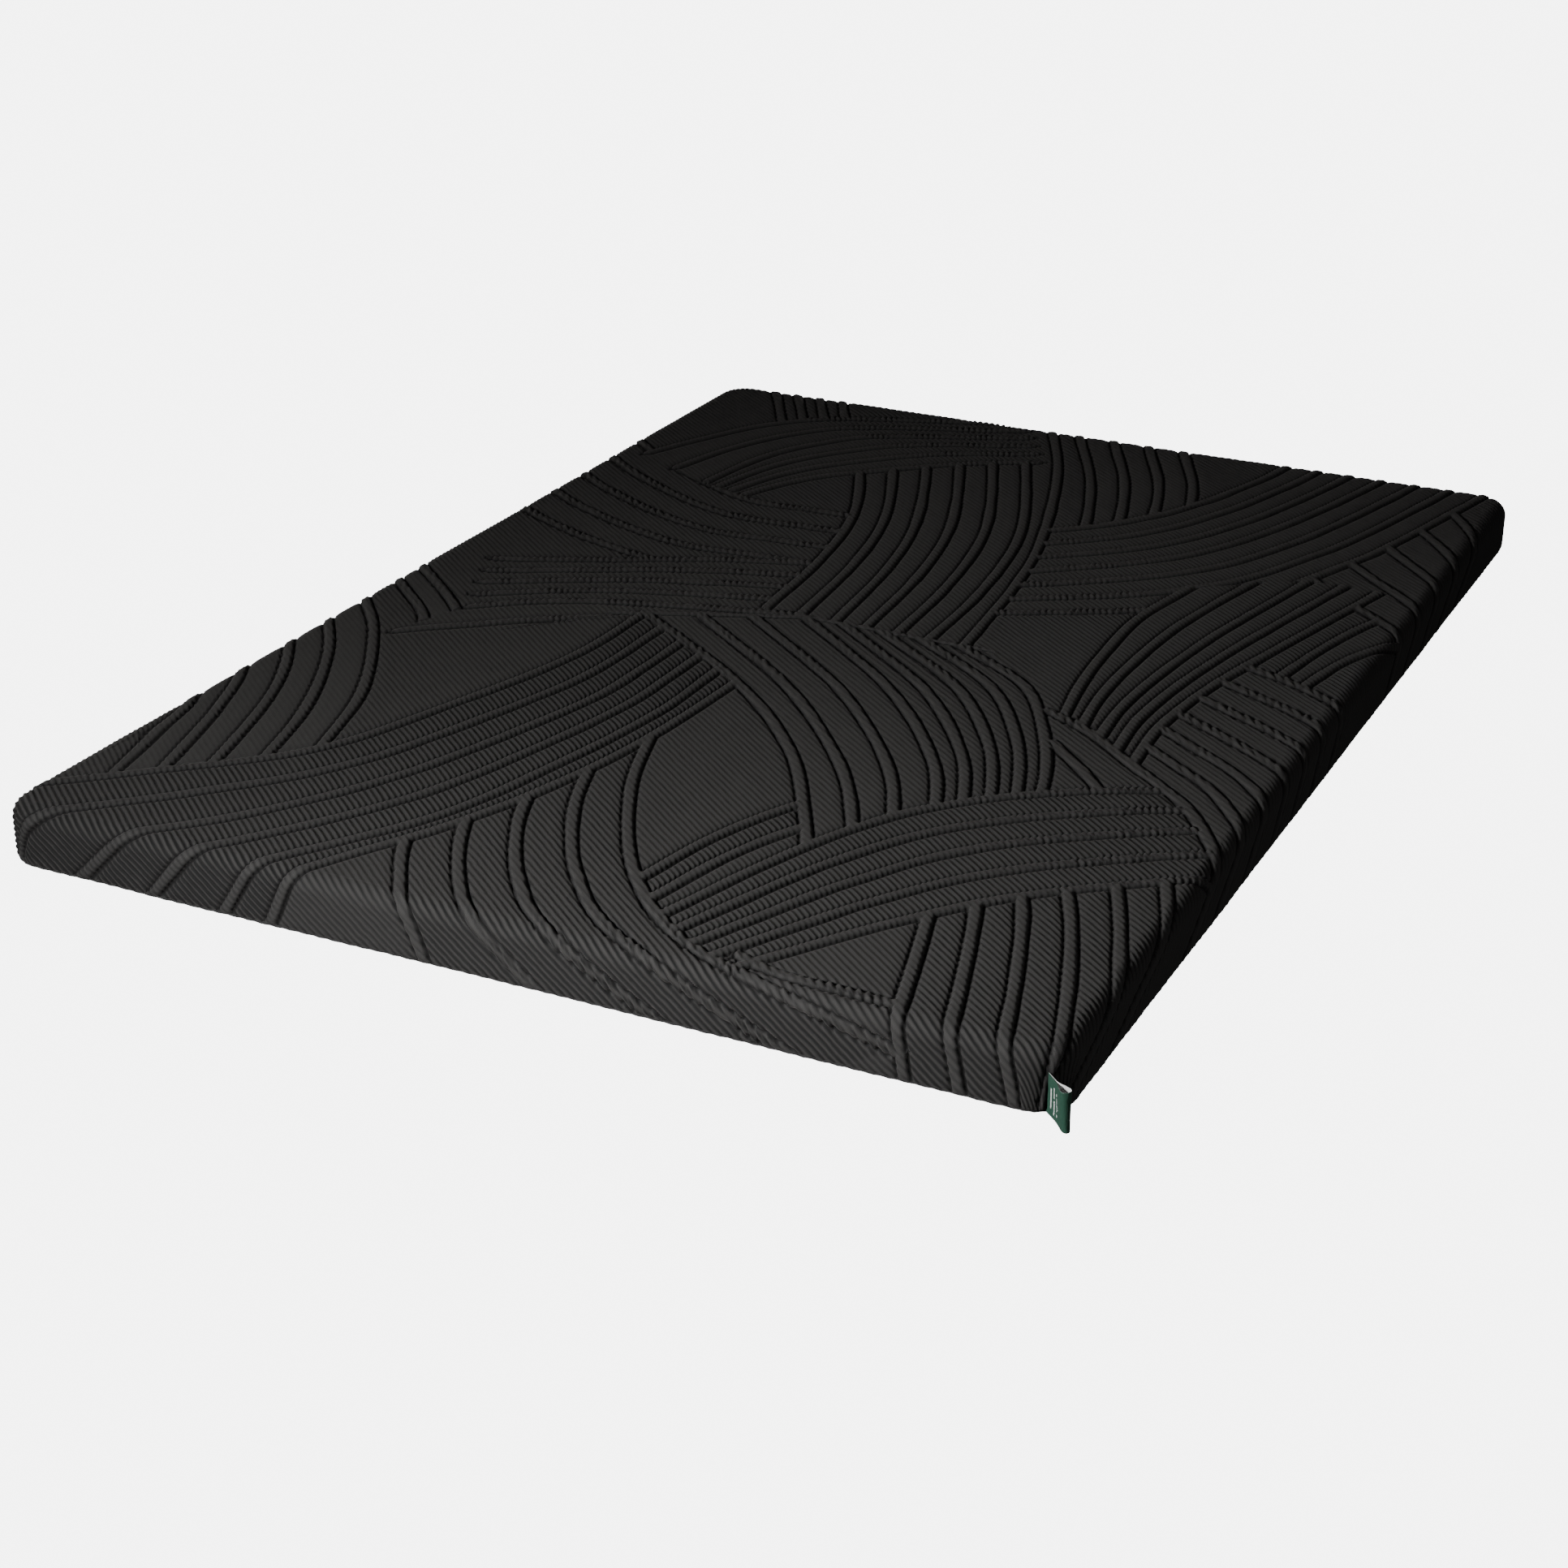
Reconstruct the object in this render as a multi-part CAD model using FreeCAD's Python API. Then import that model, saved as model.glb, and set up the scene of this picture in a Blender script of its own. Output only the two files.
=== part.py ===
import FreeCAD, Part
import math
import os

# One-piece futon mattress: a foam slab in a removable knitted cover.
# Millimetres. X runs across the mattress, Y along it, Z up. The origin is the
# centre of the underside, which is also the plane that rests on the floor.

# Driving dimensions of the finished mattress
WIDTH = 1400.0
LENGTH = 2000.0
THICKNESS = 80.0
CORNER_R = 50.0            # plan radius of the four vertical corners
TOP_EDGE_R = 22.0          # rounding of the upper edge
BASE_EDGE_R = 5.0          # rounding of the lower edge

# Cover: knitted cap above, plain base cloth below, joined at the base seam
COVER_T = 2.5
BASE_SEAM_Z = 6.0
BINDING_T = 1.0
BINDING_H = 9.0
BINDING_GAP = 0.05         # between a binding and the cover it lies against
BINDING_END_GAP = 5.0      # between the base seam's binding and the ends of the zip tapes
CORNER_BINDING_GAP = 1.0   # between the base seam's binding and the corner bindings above it
CORNER_BINDING_HALF_DEG = 5.0
CORNER_SEAM_DEG = 54.0     # where each vertical seam sits on its corner's arc, from the X axis

# Foam filling in its inner sock
SOCK_GAP = 3.0             # room between cover and sock on the sides
SOCK_LIFT = 0.5            # room between cover and sock above and below
SOCK_T = 1.0
SOCK_EDGE_R = 18.0
FOAM_GAP = 0.3
CORE_H = 44.0
SOCK_SEAM_W = 2.0
SOCK_SEAM_END_GAP = 10.0   # between the sock seam's ends and the round corners

# Zip along the foot end (the +Y side)
CHAIN_LEN = 1200.0
CHAIN_Z = 21.0
SLOT_HALF_LEN = 610.0
SLOT_TOP_Z = 36.0
TAPE_HALF_LEN = 620.0      # the tapes' ends go behind the cap, past the slot's ends
TAPE_T = 0.8
TAPE_LAP = 6.0             # how far the upper tape goes behind the cap
TAPE_GAP = 3.0             # between the two tapes, where the coils mesh
COIL_W = 3.0
COIL_H = 2.5
COIL_R = 1.0
STOP_LEN = 3.0
STOP_W = 2.4
STOP_OVERHANG = 0.6        # how far a stop reaches past its tape's edge
STOP_FRONT_T = 1.4
STOP_BACK_T = 0.7

# Zip slider, which closes the chain as it travels towards +X
SLIDER_LEN = 14.0
SLIDER_W = 10.0
SLIDER_CORNER_R = 1.8
SLIDER_PLATE_T = 1.2
SLIDER_FLANGE_T = 0.8
SLIDER_FLANGE_INSET = 2.0  # from each end of the plates
SLIDER_CLEAR = 0.3
WEDGE_GAP = 0.5            # between the last turn of the chain and the wedge
WEDGE_LEN = 3.0
WEDGE_W = 2.2
CROWN_LEN = 10.0
CROWN_W = 2.5
CROWN_H = 3.2
CROWN_BAR_T = 1.2
CROWN_LEG = 2.5
CROWN_R = 1.4
CROWN_ROOT = 0.5           # how deep the crown is set in the outer plate

# Zip puller, hung on the slider's crown
PULLER_LEN = 26.0
PULLER_W = 11.0
PULLER_T = 1.4
PULLER_ARM_W = 2.2
PULLER_WINDOW = 7.5
PULLER_TIP_R = 4.0
GRIP_HOLE_R = 2.2
GRIP_HOLE_INSET = 6.0      # from the puller's tip
PIN_R = 0.8

# Folded loop label, sewn into the vertical seam of the front right corner
LABEL_LEN = 48.0
LABEL_H = 48.0
LABEL_Z = 3.5
LABEL_T = 0.6
LABEL_ROOT_GAP = 0.15      # keeps the square end of the stem off the round corner
LABEL_FLAT = 0.55          # share of its length where the two layers lie together
LABEL_SLIT = 0.01          # half the opening where the two layers part
LABEL_LOOP_R = 3.8
LABEL_DEG = -43.0          # heading of the label, from +X

# Care label, hidden inside the cover beside the zip
CARE_W = 36.0
CARE_H = 44.0
CARE_T = 0.5
CARE_X = 645.0
CARE_LIFT = 2.0            # above the foot of the corner bindings

CUT_OVER = 10.0            # how far a cutting shape runs past what it cuts
PICK_TOL = 1e-3            # for picking edges by where they lie

os.makedirs("parts", exist_ok=True)


def save(name, shape):
    shape.exportStep("parts/" + name + ".step")
    print(name, "solids", len(shape.Solids), "valid", shape.isValid(), "cm3", round(shape.Volume / 1000.0, 2))


def box(x0, x1, y0, y1, z0, z1):
    return Part.makeBox(x1 - x0, y1 - y0, z1 - z0, FreeCAD.Vector(x0, y0, z0))


def flat_edges(shape, z):
    """Edges of the shape that lie wholly in the plane at height z."""
    found = []
    for edge in shape.Edges:
        b = edge.BoundBox
        if abs(b.ZMin - z) < PICK_TOL and abs(b.ZMax - z) < PICK_TOL:
            found.append(edge)
    return found


def slab(inset, z0, z1, top_r=0.0, base_r=0.0):
    """A rounded slab, inset from the mattress's outline, between two heights."""
    hx = WIDTH / 2 - inset
    hy = LENGTH / 2 - inset
    body = box(-hx, hx, -hy, hy, z0, z1)
    uprights = [e for e in body.Edges if e.BoundBox.ZLength > (z1 - z0) / 2]
    body = body.makeFillet(CORNER_R - inset, uprights)
    if top_r > 0:
        body = body.makeFillet(top_r, flat_edges(body, z1))
    if base_r > 0:
        body = body.makeFillet(base_r, flat_edges(body, z0))
    return body


# ---------------------------------------------------------------- cover
Y_FOOT = LENGTH / 2
CORNER_TOP_Z = THICKNESS - TOP_EDGE_R
CORNER_BASE_Z = COVER_T + BINDING_GAP + BINDING_H + CORNER_BINDING_GAP


def cover_top():
    """Knitted cap: sleeping surface and four sides in one piece, with the zip's slot at the foot end."""
    outer = slab(0.0, BASE_SEAM_Z, THICKNESS, top_r=TOP_EDGE_R)
    inner = slab(COVER_T, BASE_SEAM_Z - CUT_OVER, THICKNESS - COVER_T, top_r=TOP_EDGE_R - COVER_T)
    slot = box(-SLOT_HALF_LEN, SLOT_HALF_LEN, Y_FOOT - CUT_OVER, Y_FOOT + CUT_OVER, 0.0, SLOT_TOP_Z)
    return outer.cut(inner).cut(slot)


def cover_base():
    """Base cloth: a shallow tray whose rim meets the cap at the base seam."""
    outer = slab(0.0, 0.0, BASE_SEAM_Z, base_r=BASE_EDGE_R)
    inner = slab(COVER_T, COVER_T, BASE_SEAM_Z + CUT_OVER)
    return outer.cut(inner)


def base_seam_binding():
    """Tape that binds the base seam's allowance inside the cover, open where the zip is."""
    inset = COVER_T + BINDING_GAP
    z0 = COVER_T + BINDING_GAP
    ring = slab(inset, z0, z0 + BINDING_H)
    ring = ring.cut(slab(inset + BINDING_T, z0 - CUT_OVER, z0 + BINDING_H + CUT_OVER))
    half = TAPE_HALF_LEN + BINDING_END_GAP
    return ring.cut(box(-half, half, Y_FOOT - CUT_OVER, Y_FOOT, 0.0, THICKNESS))


def corner_seam_binding(side_x, side_y):
    """Tape that binds one vertical seam's allowance, inside the cover's corner."""
    r_out = CORNER_R - COVER_T - BINDING_GAP
    r_in = r_out - BINDING_T
    height = CORNER_TOP_Z - CORNER_BASE_Z
    middle = math.degrees(math.atan2(side_y * math.sin(math.radians(CORNER_SEAM_DEG)),
                                     side_x * math.cos(math.radians(CORNER_SEAM_DEG))))
    base = FreeCAD.Vector(side_x * (WIDTH / 2 - CORNER_R), side_y * (LENGTH / 2 - CORNER_R), CORNER_BASE_Z)
    up = FreeCAD.Vector(0, 0, 1)
    span = 2 * CORNER_BINDING_HALF_DEG
    strip = Part.makeCylinder(r_out, height, FreeCAD.Vector(0, 0, 0), up, span)
    hollow = Part.makeCylinder(r_in, height + 2 * CUT_OVER, FreeCAD.Vector(0, 0, -CUT_OVER))
    strip = strip.cut(hollow)
    strip.rotate(FreeCAD.Vector(0, 0, 0), up, middle - CORNER_BINDING_HALF_DEG)
    strip.translate(base)
    return strip


# ---------------------------------------------------------------- filling
SOCK_BASE_Z = COVER_T + SOCK_LIFT
SOCK_TOP_Z = THICKNESS - COVER_T - SOCK_LIFT
SOCK_INSET = COVER_T + SOCK_GAP
FOAM_INSET = SOCK_INSET + SOCK_T + FOAM_GAP
FOAM_BASE_Z = SOCK_BASE_Z + SOCK_T
FOAM_TOP_Z = SOCK_TOP_Z - SOCK_T - FOAM_GAP
LAYER_Z = FOAM_BASE_Z + CORE_H


def inner_sock():
    """Closed stockinette sock round the foam."""
    outer = slab(SOCK_INSET, SOCK_BASE_Z, SOCK_TOP_Z, top_r=SOCK_EDGE_R)
    inset = SOCK_INSET + SOCK_T
    inner = slab(inset, SOCK_BASE_Z + SOCK_T, SOCK_TOP_Z - SOCK_T, top_r=SOCK_EDGE_R - SOCK_T)
    return outer.cut(inner)


def inner_sock_seam():
    """Closing seam of the sock, a ridge across its head end."""
    y = -(LENGTH / 2 - SOCK_INSET)
    half = WIDTH / 2 - CORNER_R - SOCK_SEAM_END_GAP
    z = THICKNESS / 2
    return box(-half, half, y - SOCK_SEAM_W / 2, y, z - SOCK_SEAM_W / 2, z + SOCK_SEAM_W / 2)


def support_core():
    """Firm foam layer below."""
    return slab(FOAM_INSET, FOAM_BASE_Z, LAYER_Z)


def comfort_layer():
    """Softer foam layer above, bonded to the core."""
    return slab(FOAM_INSET, LAYER_Z, FOAM_TOP_Z, top_r=SOCK_EDGE_R - SOCK_T - FOAM_GAP)


# ---------------------------------------------------------------- zip
TAPE_OUT_Y = Y_FOOT - COVER_T
TAPE_IN_Y = TAPE_OUT_Y - TAPE_T
COIL_OUT_Y = TAPE_OUT_Y + COIL_H
CHAIN_END_X = CHAIN_LEN / 2


def zip_tape_upper():
    z0 = CHAIN_Z + TAPE_GAP / 2
    return box(-TAPE_HALF_LEN, TAPE_HALF_LEN, TAPE_IN_Y, TAPE_OUT_Y, z0, SLOT_TOP_Z + TAPE_LAP)


def zip_tape_lower():
    z1 = CHAIN_Z - TAPE_GAP / 2
    return box(-TAPE_HALF_LEN, TAPE_HALF_LEN, TAPE_IN_Y, TAPE_OUT_Y, COVER_T + BINDING_GAP, z1)


def zip_coil(side):
    """One coil of the chain, as the plain bar that its turns fill. side is +1 above, -1 below."""
    z_mesh = CHAIN_Z
    z_out = CHAIN_Z + side * COIL_W
    bar = box(-CHAIN_END_X, CHAIN_END_X, TAPE_OUT_Y, COIL_OUT_Y, min(z_mesh, z_out), max(z_mesh, z_out))
    outer_edges = []
    for edge in bar.Edges:
        b = edge.BoundBox
        at_front = abs(b.YMin - COIL_OUT_Y) < PICK_TOL
        if b.XLength > CHAIN_LEN / 2 and at_front and abs(b.ZMin - z_out) < PICK_TOL:
            outer_edges.append(edge)
    return bar.makeFillet(COIL_R, outer_edges)


def zip_top_stops():
    """Two crimped stops, one on each tape, just past the closed end of the chain."""
    x0 = SLIDER_END_X + SLIDER_CLEAR
    stops = []
    for side in (-1, 1):
        z0 = CHAIN_Z + side * (TAPE_GAP / 2 - STOP_OVERHANG)
        z1 = z0 + side * STOP_W
        clip = box(x0, x0 + STOP_LEN, TAPE_IN_Y - STOP_BACK_T, TAPE_OUT_Y + STOP_FRONT_T,
                   min(z0, z1), max(z0, z1))
        z_tape = CHAIN_Z + side * TAPE_GAP / 2
        z_far = z1 + side * CUT_OVER
        tape = box(x0 - CUT_OVER, x0 + STOP_LEN + CUT_OVER, TAPE_IN_Y, TAPE_OUT_Y,
                   min(z_tape, z_far), max(z_tape, z_far))
        stops.append(clip.cut(tape))
    return Part.makeCompound(stops)


def zip_bottom_stop():
    """Crimped stop across both tapes at the open end of the chain."""
    x1 = -CHAIN_END_X
    half = TAPE_GAP / 2 + STOP_W - STOP_OVERHANG
    y0 = TAPE_IN_Y - STOP_BACK_T
    y1 = TAPE_OUT_Y + STOP_FRONT_T
    clip = box(x1 - STOP_LEN, x1, y0, y1, CHAIN_Z - half, CHAIN_Z + half)
    x_from = x1 - STOP_LEN - CUT_OVER
    x_to = x1 + CUT_OVER
    z_far = half + CUT_OVER
    above = box(x_from, x_to, TAPE_IN_Y, TAPE_OUT_Y, CHAIN_Z + TAPE_GAP / 2, CHAIN_Z + z_far)
    below = box(x_from, x_to, TAPE_IN_Y, TAPE_OUT_Y, CHAIN_Z - z_far, CHAIN_Z - TAPE_GAP / 2)
    return clip.cut(above).cut(below)


# The slider's wedge stands just past the last turn of the closed chain
WEDGE_X0 = CHAIN_END_X + WEDGE_GAP
SLIDER_END_X = WEDGE_X0 + WEDGE_LEN
SLIDER_START_X = SLIDER_END_X - SLIDER_LEN
OUTER_PLATE_Y0 = COIL_OUT_Y + SLIDER_CLEAR
OUTER_PLATE_Y1 = OUTER_PLATE_Y0 + SLIDER_PLATE_T
INNER_PLATE_Y1 = TAPE_IN_Y - SLIDER_CLEAR
INNER_PLATE_Y0 = INNER_PLATE_Y1 - SLIDER_PLATE_T
CROWN_MID_X = (SLIDER_START_X + SLIDER_END_X) / 2


def zip_slider():
    """Slider: two plates joined by the wedge, flanges beside the coils, and a crown for the puller."""
    z0 = CHAIN_Z - SLIDER_W / 2
    z1 = CHAIN_Z + SLIDER_W / 2
    outer = box(SLIDER_START_X, SLIDER_END_X, OUTER_PLATE_Y0, OUTER_PLATE_Y1, z0, z1)
    inner = box(SLIDER_START_X, SLIDER_END_X, INNER_PLATE_Y0, INNER_PLATE_Y1, z0, z1)
    uprights = [e for e in outer.Edges if e.BoundBox.YLength > SLIDER_PLATE_T / 2]
    outer = outer.makeFillet(SLIDER_CORNER_R, uprights)
    uprights = [e for e in inner.Edges if e.BoundBox.YLength > SLIDER_PLATE_T / 2]
    inner = inner.makeFillet(SLIDER_CORNER_R, uprights)
    body = outer.fuse(inner)
    wedge = box(WEDGE_X0, SLIDER_END_X, INNER_PLATE_Y0, OUTER_PLATE_Y1,
                CHAIN_Z - WEDGE_W / 2, CHAIN_Z + WEDGE_W / 2)
    body = body.fuse(wedge)
    flange_y0 = TAPE_OUT_Y + SLIDER_CLEAR
    flange_x0 = SLIDER_START_X + SLIDER_FLANGE_INSET
    flange_x1 = SLIDER_END_X - SLIDER_FLANGE_INSET
    for side in (-1, 1):
        za = CHAIN_Z + side * SLIDER_W / 2
        zb = za - side * SLIDER_FLANGE_T
        body = body.fuse(box(flange_x0, flange_x1, flange_y0, OUTER_PLATE_Y1, min(za, zb), max(za, zb)))
    crown_x0 = CROWN_MID_X - CROWN_LEN / 2
    crown_x1 = CROWN_MID_X + CROWN_LEN / 2
    y0 = OUTER_PLATE_Y1 - CROWN_ROOT
    y1 = OUTER_PLATE_Y1 + CROWN_H
    crown = box(crown_x0, crown_x1, y0, y1, CHAIN_Z - CROWN_W / 2, CHAIN_Z + CROWN_W / 2)
    across = [e for e in crown.Edges if e.BoundBox.ZLength > CROWN_W / 2]
    crown = crown.makeFillet(CROWN_R, [e for e in across if e.BoundBox.YMin > y1 - PICK_TOL])
    window = box(crown_x0 + CROWN_LEG, crown_x1 - CROWN_LEG, OUTER_PLATE_Y1, y1 - CROWN_BAR_T,
                 CHAIN_Z - CROWN_W, CHAIN_Z + CROWN_W)
    return body.fuse(crown.cut(window)).removeSplitter()


PIVOT_X = CROWN_MID_X
PIVOT_Y = OUTER_PLATE_Y1 + (CROWN_H - CROWN_BAR_T) / 2


def zip_puller():
    """Puller: a flat tab with a window, whose cross pin lies under the slider's crown."""
    z0 = CHAIN_Z - PULLER_W / 2
    z1 = CHAIN_Z + PULLER_W / 2
    y0 = PIVOT_Y - PULLER_T / 2
    y1 = PIVOT_Y + PULLER_T / 2
    x1 = PIVOT_X + PULLER_LEN
    tab = box(PIVOT_X, x1, y0, y1, z0, z1)
    across = [e for e in tab.Edges if e.BoundBox.YLength > PULLER_T / 2]
    tab = tab.makeFillet(PULLER_TIP_R, [e for e in across if e.BoundBox.XMin > x1 - PICK_TOL])
    window = box(PIVOT_X - CUT_OVER, PIVOT_X + PULLER_WINDOW, y0 - CUT_OVER, y1 + CUT_OVER,
                 z0 + PULLER_ARM_W, z1 - PULLER_ARM_W)
    hole_base = FreeCAD.Vector(x1 - GRIP_HOLE_INSET, y0 - CUT_OVER, CHAIN_Z)
    grip = Part.makeCylinder(GRIP_HOLE_R, PULLER_T + 2 * CUT_OVER, hole_base, FreeCAD.Vector(0, 1, 0))
    pin = Part.makeCylinder(PIN_R, PULLER_W, FreeCAD.Vector(PIVOT_X, PIVOT_Y, z0))
    return tab.cut(window).cut(grip).fuse(pin).removeSplitter()


# ---------------------------------------------------------------- labels
def side_label():
    """Woven loop label: two layers that lie together at the seam and open to a round fold at the tip."""
    flat = LABEL_LEN * LABEL_FLAT
    loop_x = LABEL_LEN - LABEL_LOOP_R

    def outline(inset):
        """Teardrop outline in plan: first coordinate away from the seam, second across the layers."""
        r = LABEL_LOOP_R - inset
        u0 = flat + 2 * inset
        w0 = max(LABEL_T - inset, LABEL_SLIT)
        top = FreeCAD.Vector(loop_x, r, 0)
        low = FreeCAD.Vector(loop_x, -r, 0)
        tip = FreeCAD.Vector(loop_x + r, 0, 0)
        edges = [
            Part.LineSegment(FreeCAD.Vector(u0, w0, 0), top).toShape(),
            Part.Arc(top, tip, low).toShape(),
            Part.LineSegment(low, FreeCAD.Vector(u0, -w0, 0)).toShape(),
            Part.LineSegment(FreeCAD.Vector(u0, -w0, 0), FreeCAD.Vector(u0, w0, 0)).toShape(),
        ]
        return Part.Face(Part.Wire(edges))

    loop = outline(0.0).cut(outline(LABEL_T))
    stem = Part.makePlane(flat, 2 * LABEL_T, FreeCAD.Vector(0, -LABEL_T, 0))
    body = stem.extrude(FreeCAD.Vector(0, 0, LABEL_H)).fuse(loop.extrude(FreeCAD.Vector(0, 0, LABEL_H)))
    body = body.removeSplitter()
    body.rotate(FreeCAD.Vector(0, 0, 0), FreeCAD.Vector(0, 0, 1), LABEL_DEG)
    seam = math.radians(-CORNER_SEAM_DEG)
    root_r = CORNER_R + LABEL_ROOT_GAP
    body.translate(FreeCAD.Vector(WIDTH / 2 - CORNER_R + root_r * math.cos(seam),
                                  -(LENGTH / 2 - CORNER_R) + root_r * math.sin(seam), LABEL_Z))
    return body


def care_label():
    """Plain care label, in the gap behind the foot side beside the zip."""
    y1 = TAPE_IN_Y - BINDING_T
    z0 = CORNER_BASE_Z + CARE_LIFT
    return box(CARE_X - CARE_W / 2, CARE_X + CARE_W / 2, y1 - CARE_T, y1, z0, z0 + CARE_H)


save("cover_top", cover_top())
save("cover_base", cover_base())
save("base_seam_binding", base_seam_binding())
for front_rear, side_y in (("front", -1), ("rear", 1)):
    for left_right, side_x in (("left", -1), ("right", 1)):
        save("corner_seam_binding_" + front_rear + "_" + left_right, corner_seam_binding(side_x, side_y))
save("inner_sock", inner_sock())
save("inner_sock_seam", inner_sock_seam())
save("support_core", support_core())
save("comfort_layer", comfort_layer())
save("zip_tape_upper", zip_tape_upper())
save("zip_tape_lower", zip_tape_lower())
save("zip_coil_upper", zip_coil(1))
save("zip_coil_lower", zip_coil(-1))
save("zip_top_stops", zip_top_stops())
save("zip_bottom_stop", zip_bottom_stop())
save("zip_slider", zip_slider())
save("zip_puller", zip_puller())
save("side_label", side_label())
save("care_label", care_label())
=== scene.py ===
import math

import bpy
import numpy as np
from mathutils import Matrix, Vector


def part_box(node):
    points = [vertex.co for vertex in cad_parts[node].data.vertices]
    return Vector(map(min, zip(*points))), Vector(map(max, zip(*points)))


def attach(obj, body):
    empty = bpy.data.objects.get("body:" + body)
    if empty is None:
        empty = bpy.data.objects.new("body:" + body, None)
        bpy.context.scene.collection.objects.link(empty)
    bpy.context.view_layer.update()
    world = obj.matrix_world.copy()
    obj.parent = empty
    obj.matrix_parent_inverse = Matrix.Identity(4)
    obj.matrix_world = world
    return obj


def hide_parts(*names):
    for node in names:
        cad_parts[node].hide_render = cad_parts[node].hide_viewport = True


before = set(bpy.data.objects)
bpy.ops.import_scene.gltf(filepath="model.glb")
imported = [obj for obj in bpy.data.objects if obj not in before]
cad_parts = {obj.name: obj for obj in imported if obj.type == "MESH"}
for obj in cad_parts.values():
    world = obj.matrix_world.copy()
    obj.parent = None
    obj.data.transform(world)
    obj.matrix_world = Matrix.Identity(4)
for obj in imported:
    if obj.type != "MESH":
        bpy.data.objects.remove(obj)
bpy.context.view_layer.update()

MM = 0.001

# ------------------------------------------------------------------ sizes, in metres
CORNER_R = 0.050           # plan radius of the mattress's corners
TOP_EDGE_R = 0.022         # rounding of the upper edge
BASE_EDGE_R = 0.005
CAP_STEP = 0.0018
BASE_STEP = 0.006
FILLING_STEP = 0.012

TUBE_HALF_W = 0.0079       # half width of a padded tube in the knit
TUBE_H = 0.0023            # how far a tube stands above the flat knit
TUBE_VARIES = 0.08         # share by which its width comes and goes along it
END_FADE = 0.022           # a tube that fades sinks over this length at its ends
GROOVE_DEPTH = 0.0026      # the tuck on either side of a tube
GROOVE_HALF_W = 0.0016
# The wider tucks lie on the tubes' side turned from the front light. This widens the relief and also the
# painted shade along them, which stands in for shadow on that side.
TUCK_SIDE = np.array([0.80, -1.20])    # the tucks on this side of the tubes are the wider ones
TUCK_MORE = 0.60
FLAT_LEVEL = -0.0008       # the flat knit, measured from the CAD surface
FIELD_PUFF = 0.0010        # how much the knit rises again away from a tube
TWILL_PERIOD = 0.0080      # from one diagonal rib to the next
TWILL_DEG = -40.0          # direction of the ribs, from +X
TWILL_H = 0.00060
TWILL_WIDENS = 0.12        # share by which a rib pushes out the edge of a tube that it meets
PUCKER_PERIOD = 0.0098     # gathers on tubes that run across the knit
PUCKER_DEG = -62.0
PUCKER_H = 0.0015
PUCKER_WIDENS = 0.26
PUCKER_WANDER = 0.35       # how far the gathers stray, in turns
PUCKER_TRAIL_H = 0.0004    # how high the gathers run on into the flat knit
GATHER_FROM = 0.62         # a tube gathers from this much sideways run
GATHER_FULL = 0.90
SEAM_DEG = 54.0            # place of each upright corner seam on its arc, from the X axis
SEAM_DEPTH = 0.0022
SEAM_HALF_W = 0.0022
SEAM_FROM = 0.012          # it sinks in between these lengths of cloth down from the top
SEAM_FULL = 0.030
RIM_TUCK = 0.0009          # the knit and the base cloth draw in where they are sewn together
RIM_TUCK_W = 0.0030
RIM_TIGHT = 0.006          # the knit is drawn flat this near the base seam
TIGHT_SHARE = 0.25         # share of the relief that stays where the knit is drawn flat
SLOT_HALF_LEN = 0.610      # the zip's opening in the far side
SLOT_TOP_Z = 0.036
SLOT_TIGHT = 0.022         # the knit is drawn flat this near the opening
SLOT_TURN = 0.0013         # how deep the cloth's edge turns in at the opening
SLOT_EDGE = 0.004          # the edges this near the opening turn in that much
RIM_TURN = 0.0024
WALL_TOL = 0.002           # the far side's wall is found to within this
TOPSTITCH_UP = 0.0040      # the row of stitches above the opening
STITCH_PITCH = 0.0042
STITCH_LEN = 0.0031
STITCH_R = 0.00035
TACK_PITCH = 0.00085       # stitches that close the gap between the zip's tapes at both ends
TACK_LEN = 0.0062

BINDING_INSET = 0.0046     # the binding tapes lie this far inside the cover
BINDING_T = 0.0005
BINDING_W = 0.0100
BINDING_GAP = 0.015        # the base tape stops this far past the opening's ends
TAPE_WAVE = 0.00015        # how unevenly a tape lies
SOCK_CORNER_R = 0.0475
SOCK_EDGE_R = 0.018
SOCK_DROP = 0.0030         # the sock's top lies this far under its CAD solid, clear of the knit's tucks
FOAM_EDGE_R = 0.0160
FOAM_CUT_R = 0.0025
FOAM_DROP = 0.0012         # the foam lies this far under the sock, and this far in from its sides
FOAM_INSET = 0.0006
LAYER_GAP = 0.0002
ZIGZAG_PITCH = 0.0024
ZIGZAG_LEN = 0.0034
ZIGZAG_R = 0.00032

COIL_PITCH = 0.0025
COIL_WIRE_R = 0.00036
COIL_REACH = 0.0006        # how far each turn's head reaches past the middle of the closed zip
COIL_THREAD_R = 0.00028
COIL_THREAD_UP = 0.0006    # the thread runs this far off the middle of its row
RIBBON_WAVE = 0.00012      # how unevenly the zip's tapes and the care label lie
LABEL_ROOT_DEG = -54.0
LABEL_DEG = -43.0
LABEL_ROOT_IN = 0.0035     # how deep the label's ends are sewn into the seam
LABEL_T = 0.0005
LABEL_STEPS = 90
MARK_T = 0.00016
MARK_LIFT = 0.00004
# The label's fold seen from above, in millimetres: along the label, and across it.
LABEL_FOLD = [(0, -0.3), (12, -0.5), (24, -1.1), (33, -3.0), (40.5, -5.0), (45.6, -4.2), (48, -0.5),
              (47.6, 3.8), (44.6, 6.6), (40, 6.9), (34, 4.7), (28, 1.9), (23, 0.6), (12, 0.4), (0, 0.3)]
# Bars and dashes woven on the label: how far along it, how wide, and from and to below its top edge.
LABEL_MARKS = [(7.0, 2.6, [(14.5, 38.5)]),
               (15.0, 2.0, [(10.0, 22.5), (25.5, 43.0)]),
               (22.4, 2.4, [(13.0, 15.8), (37.5, 40.3)]),
               (23.0, 1.2, [(18.0, 35.5)])]

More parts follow.
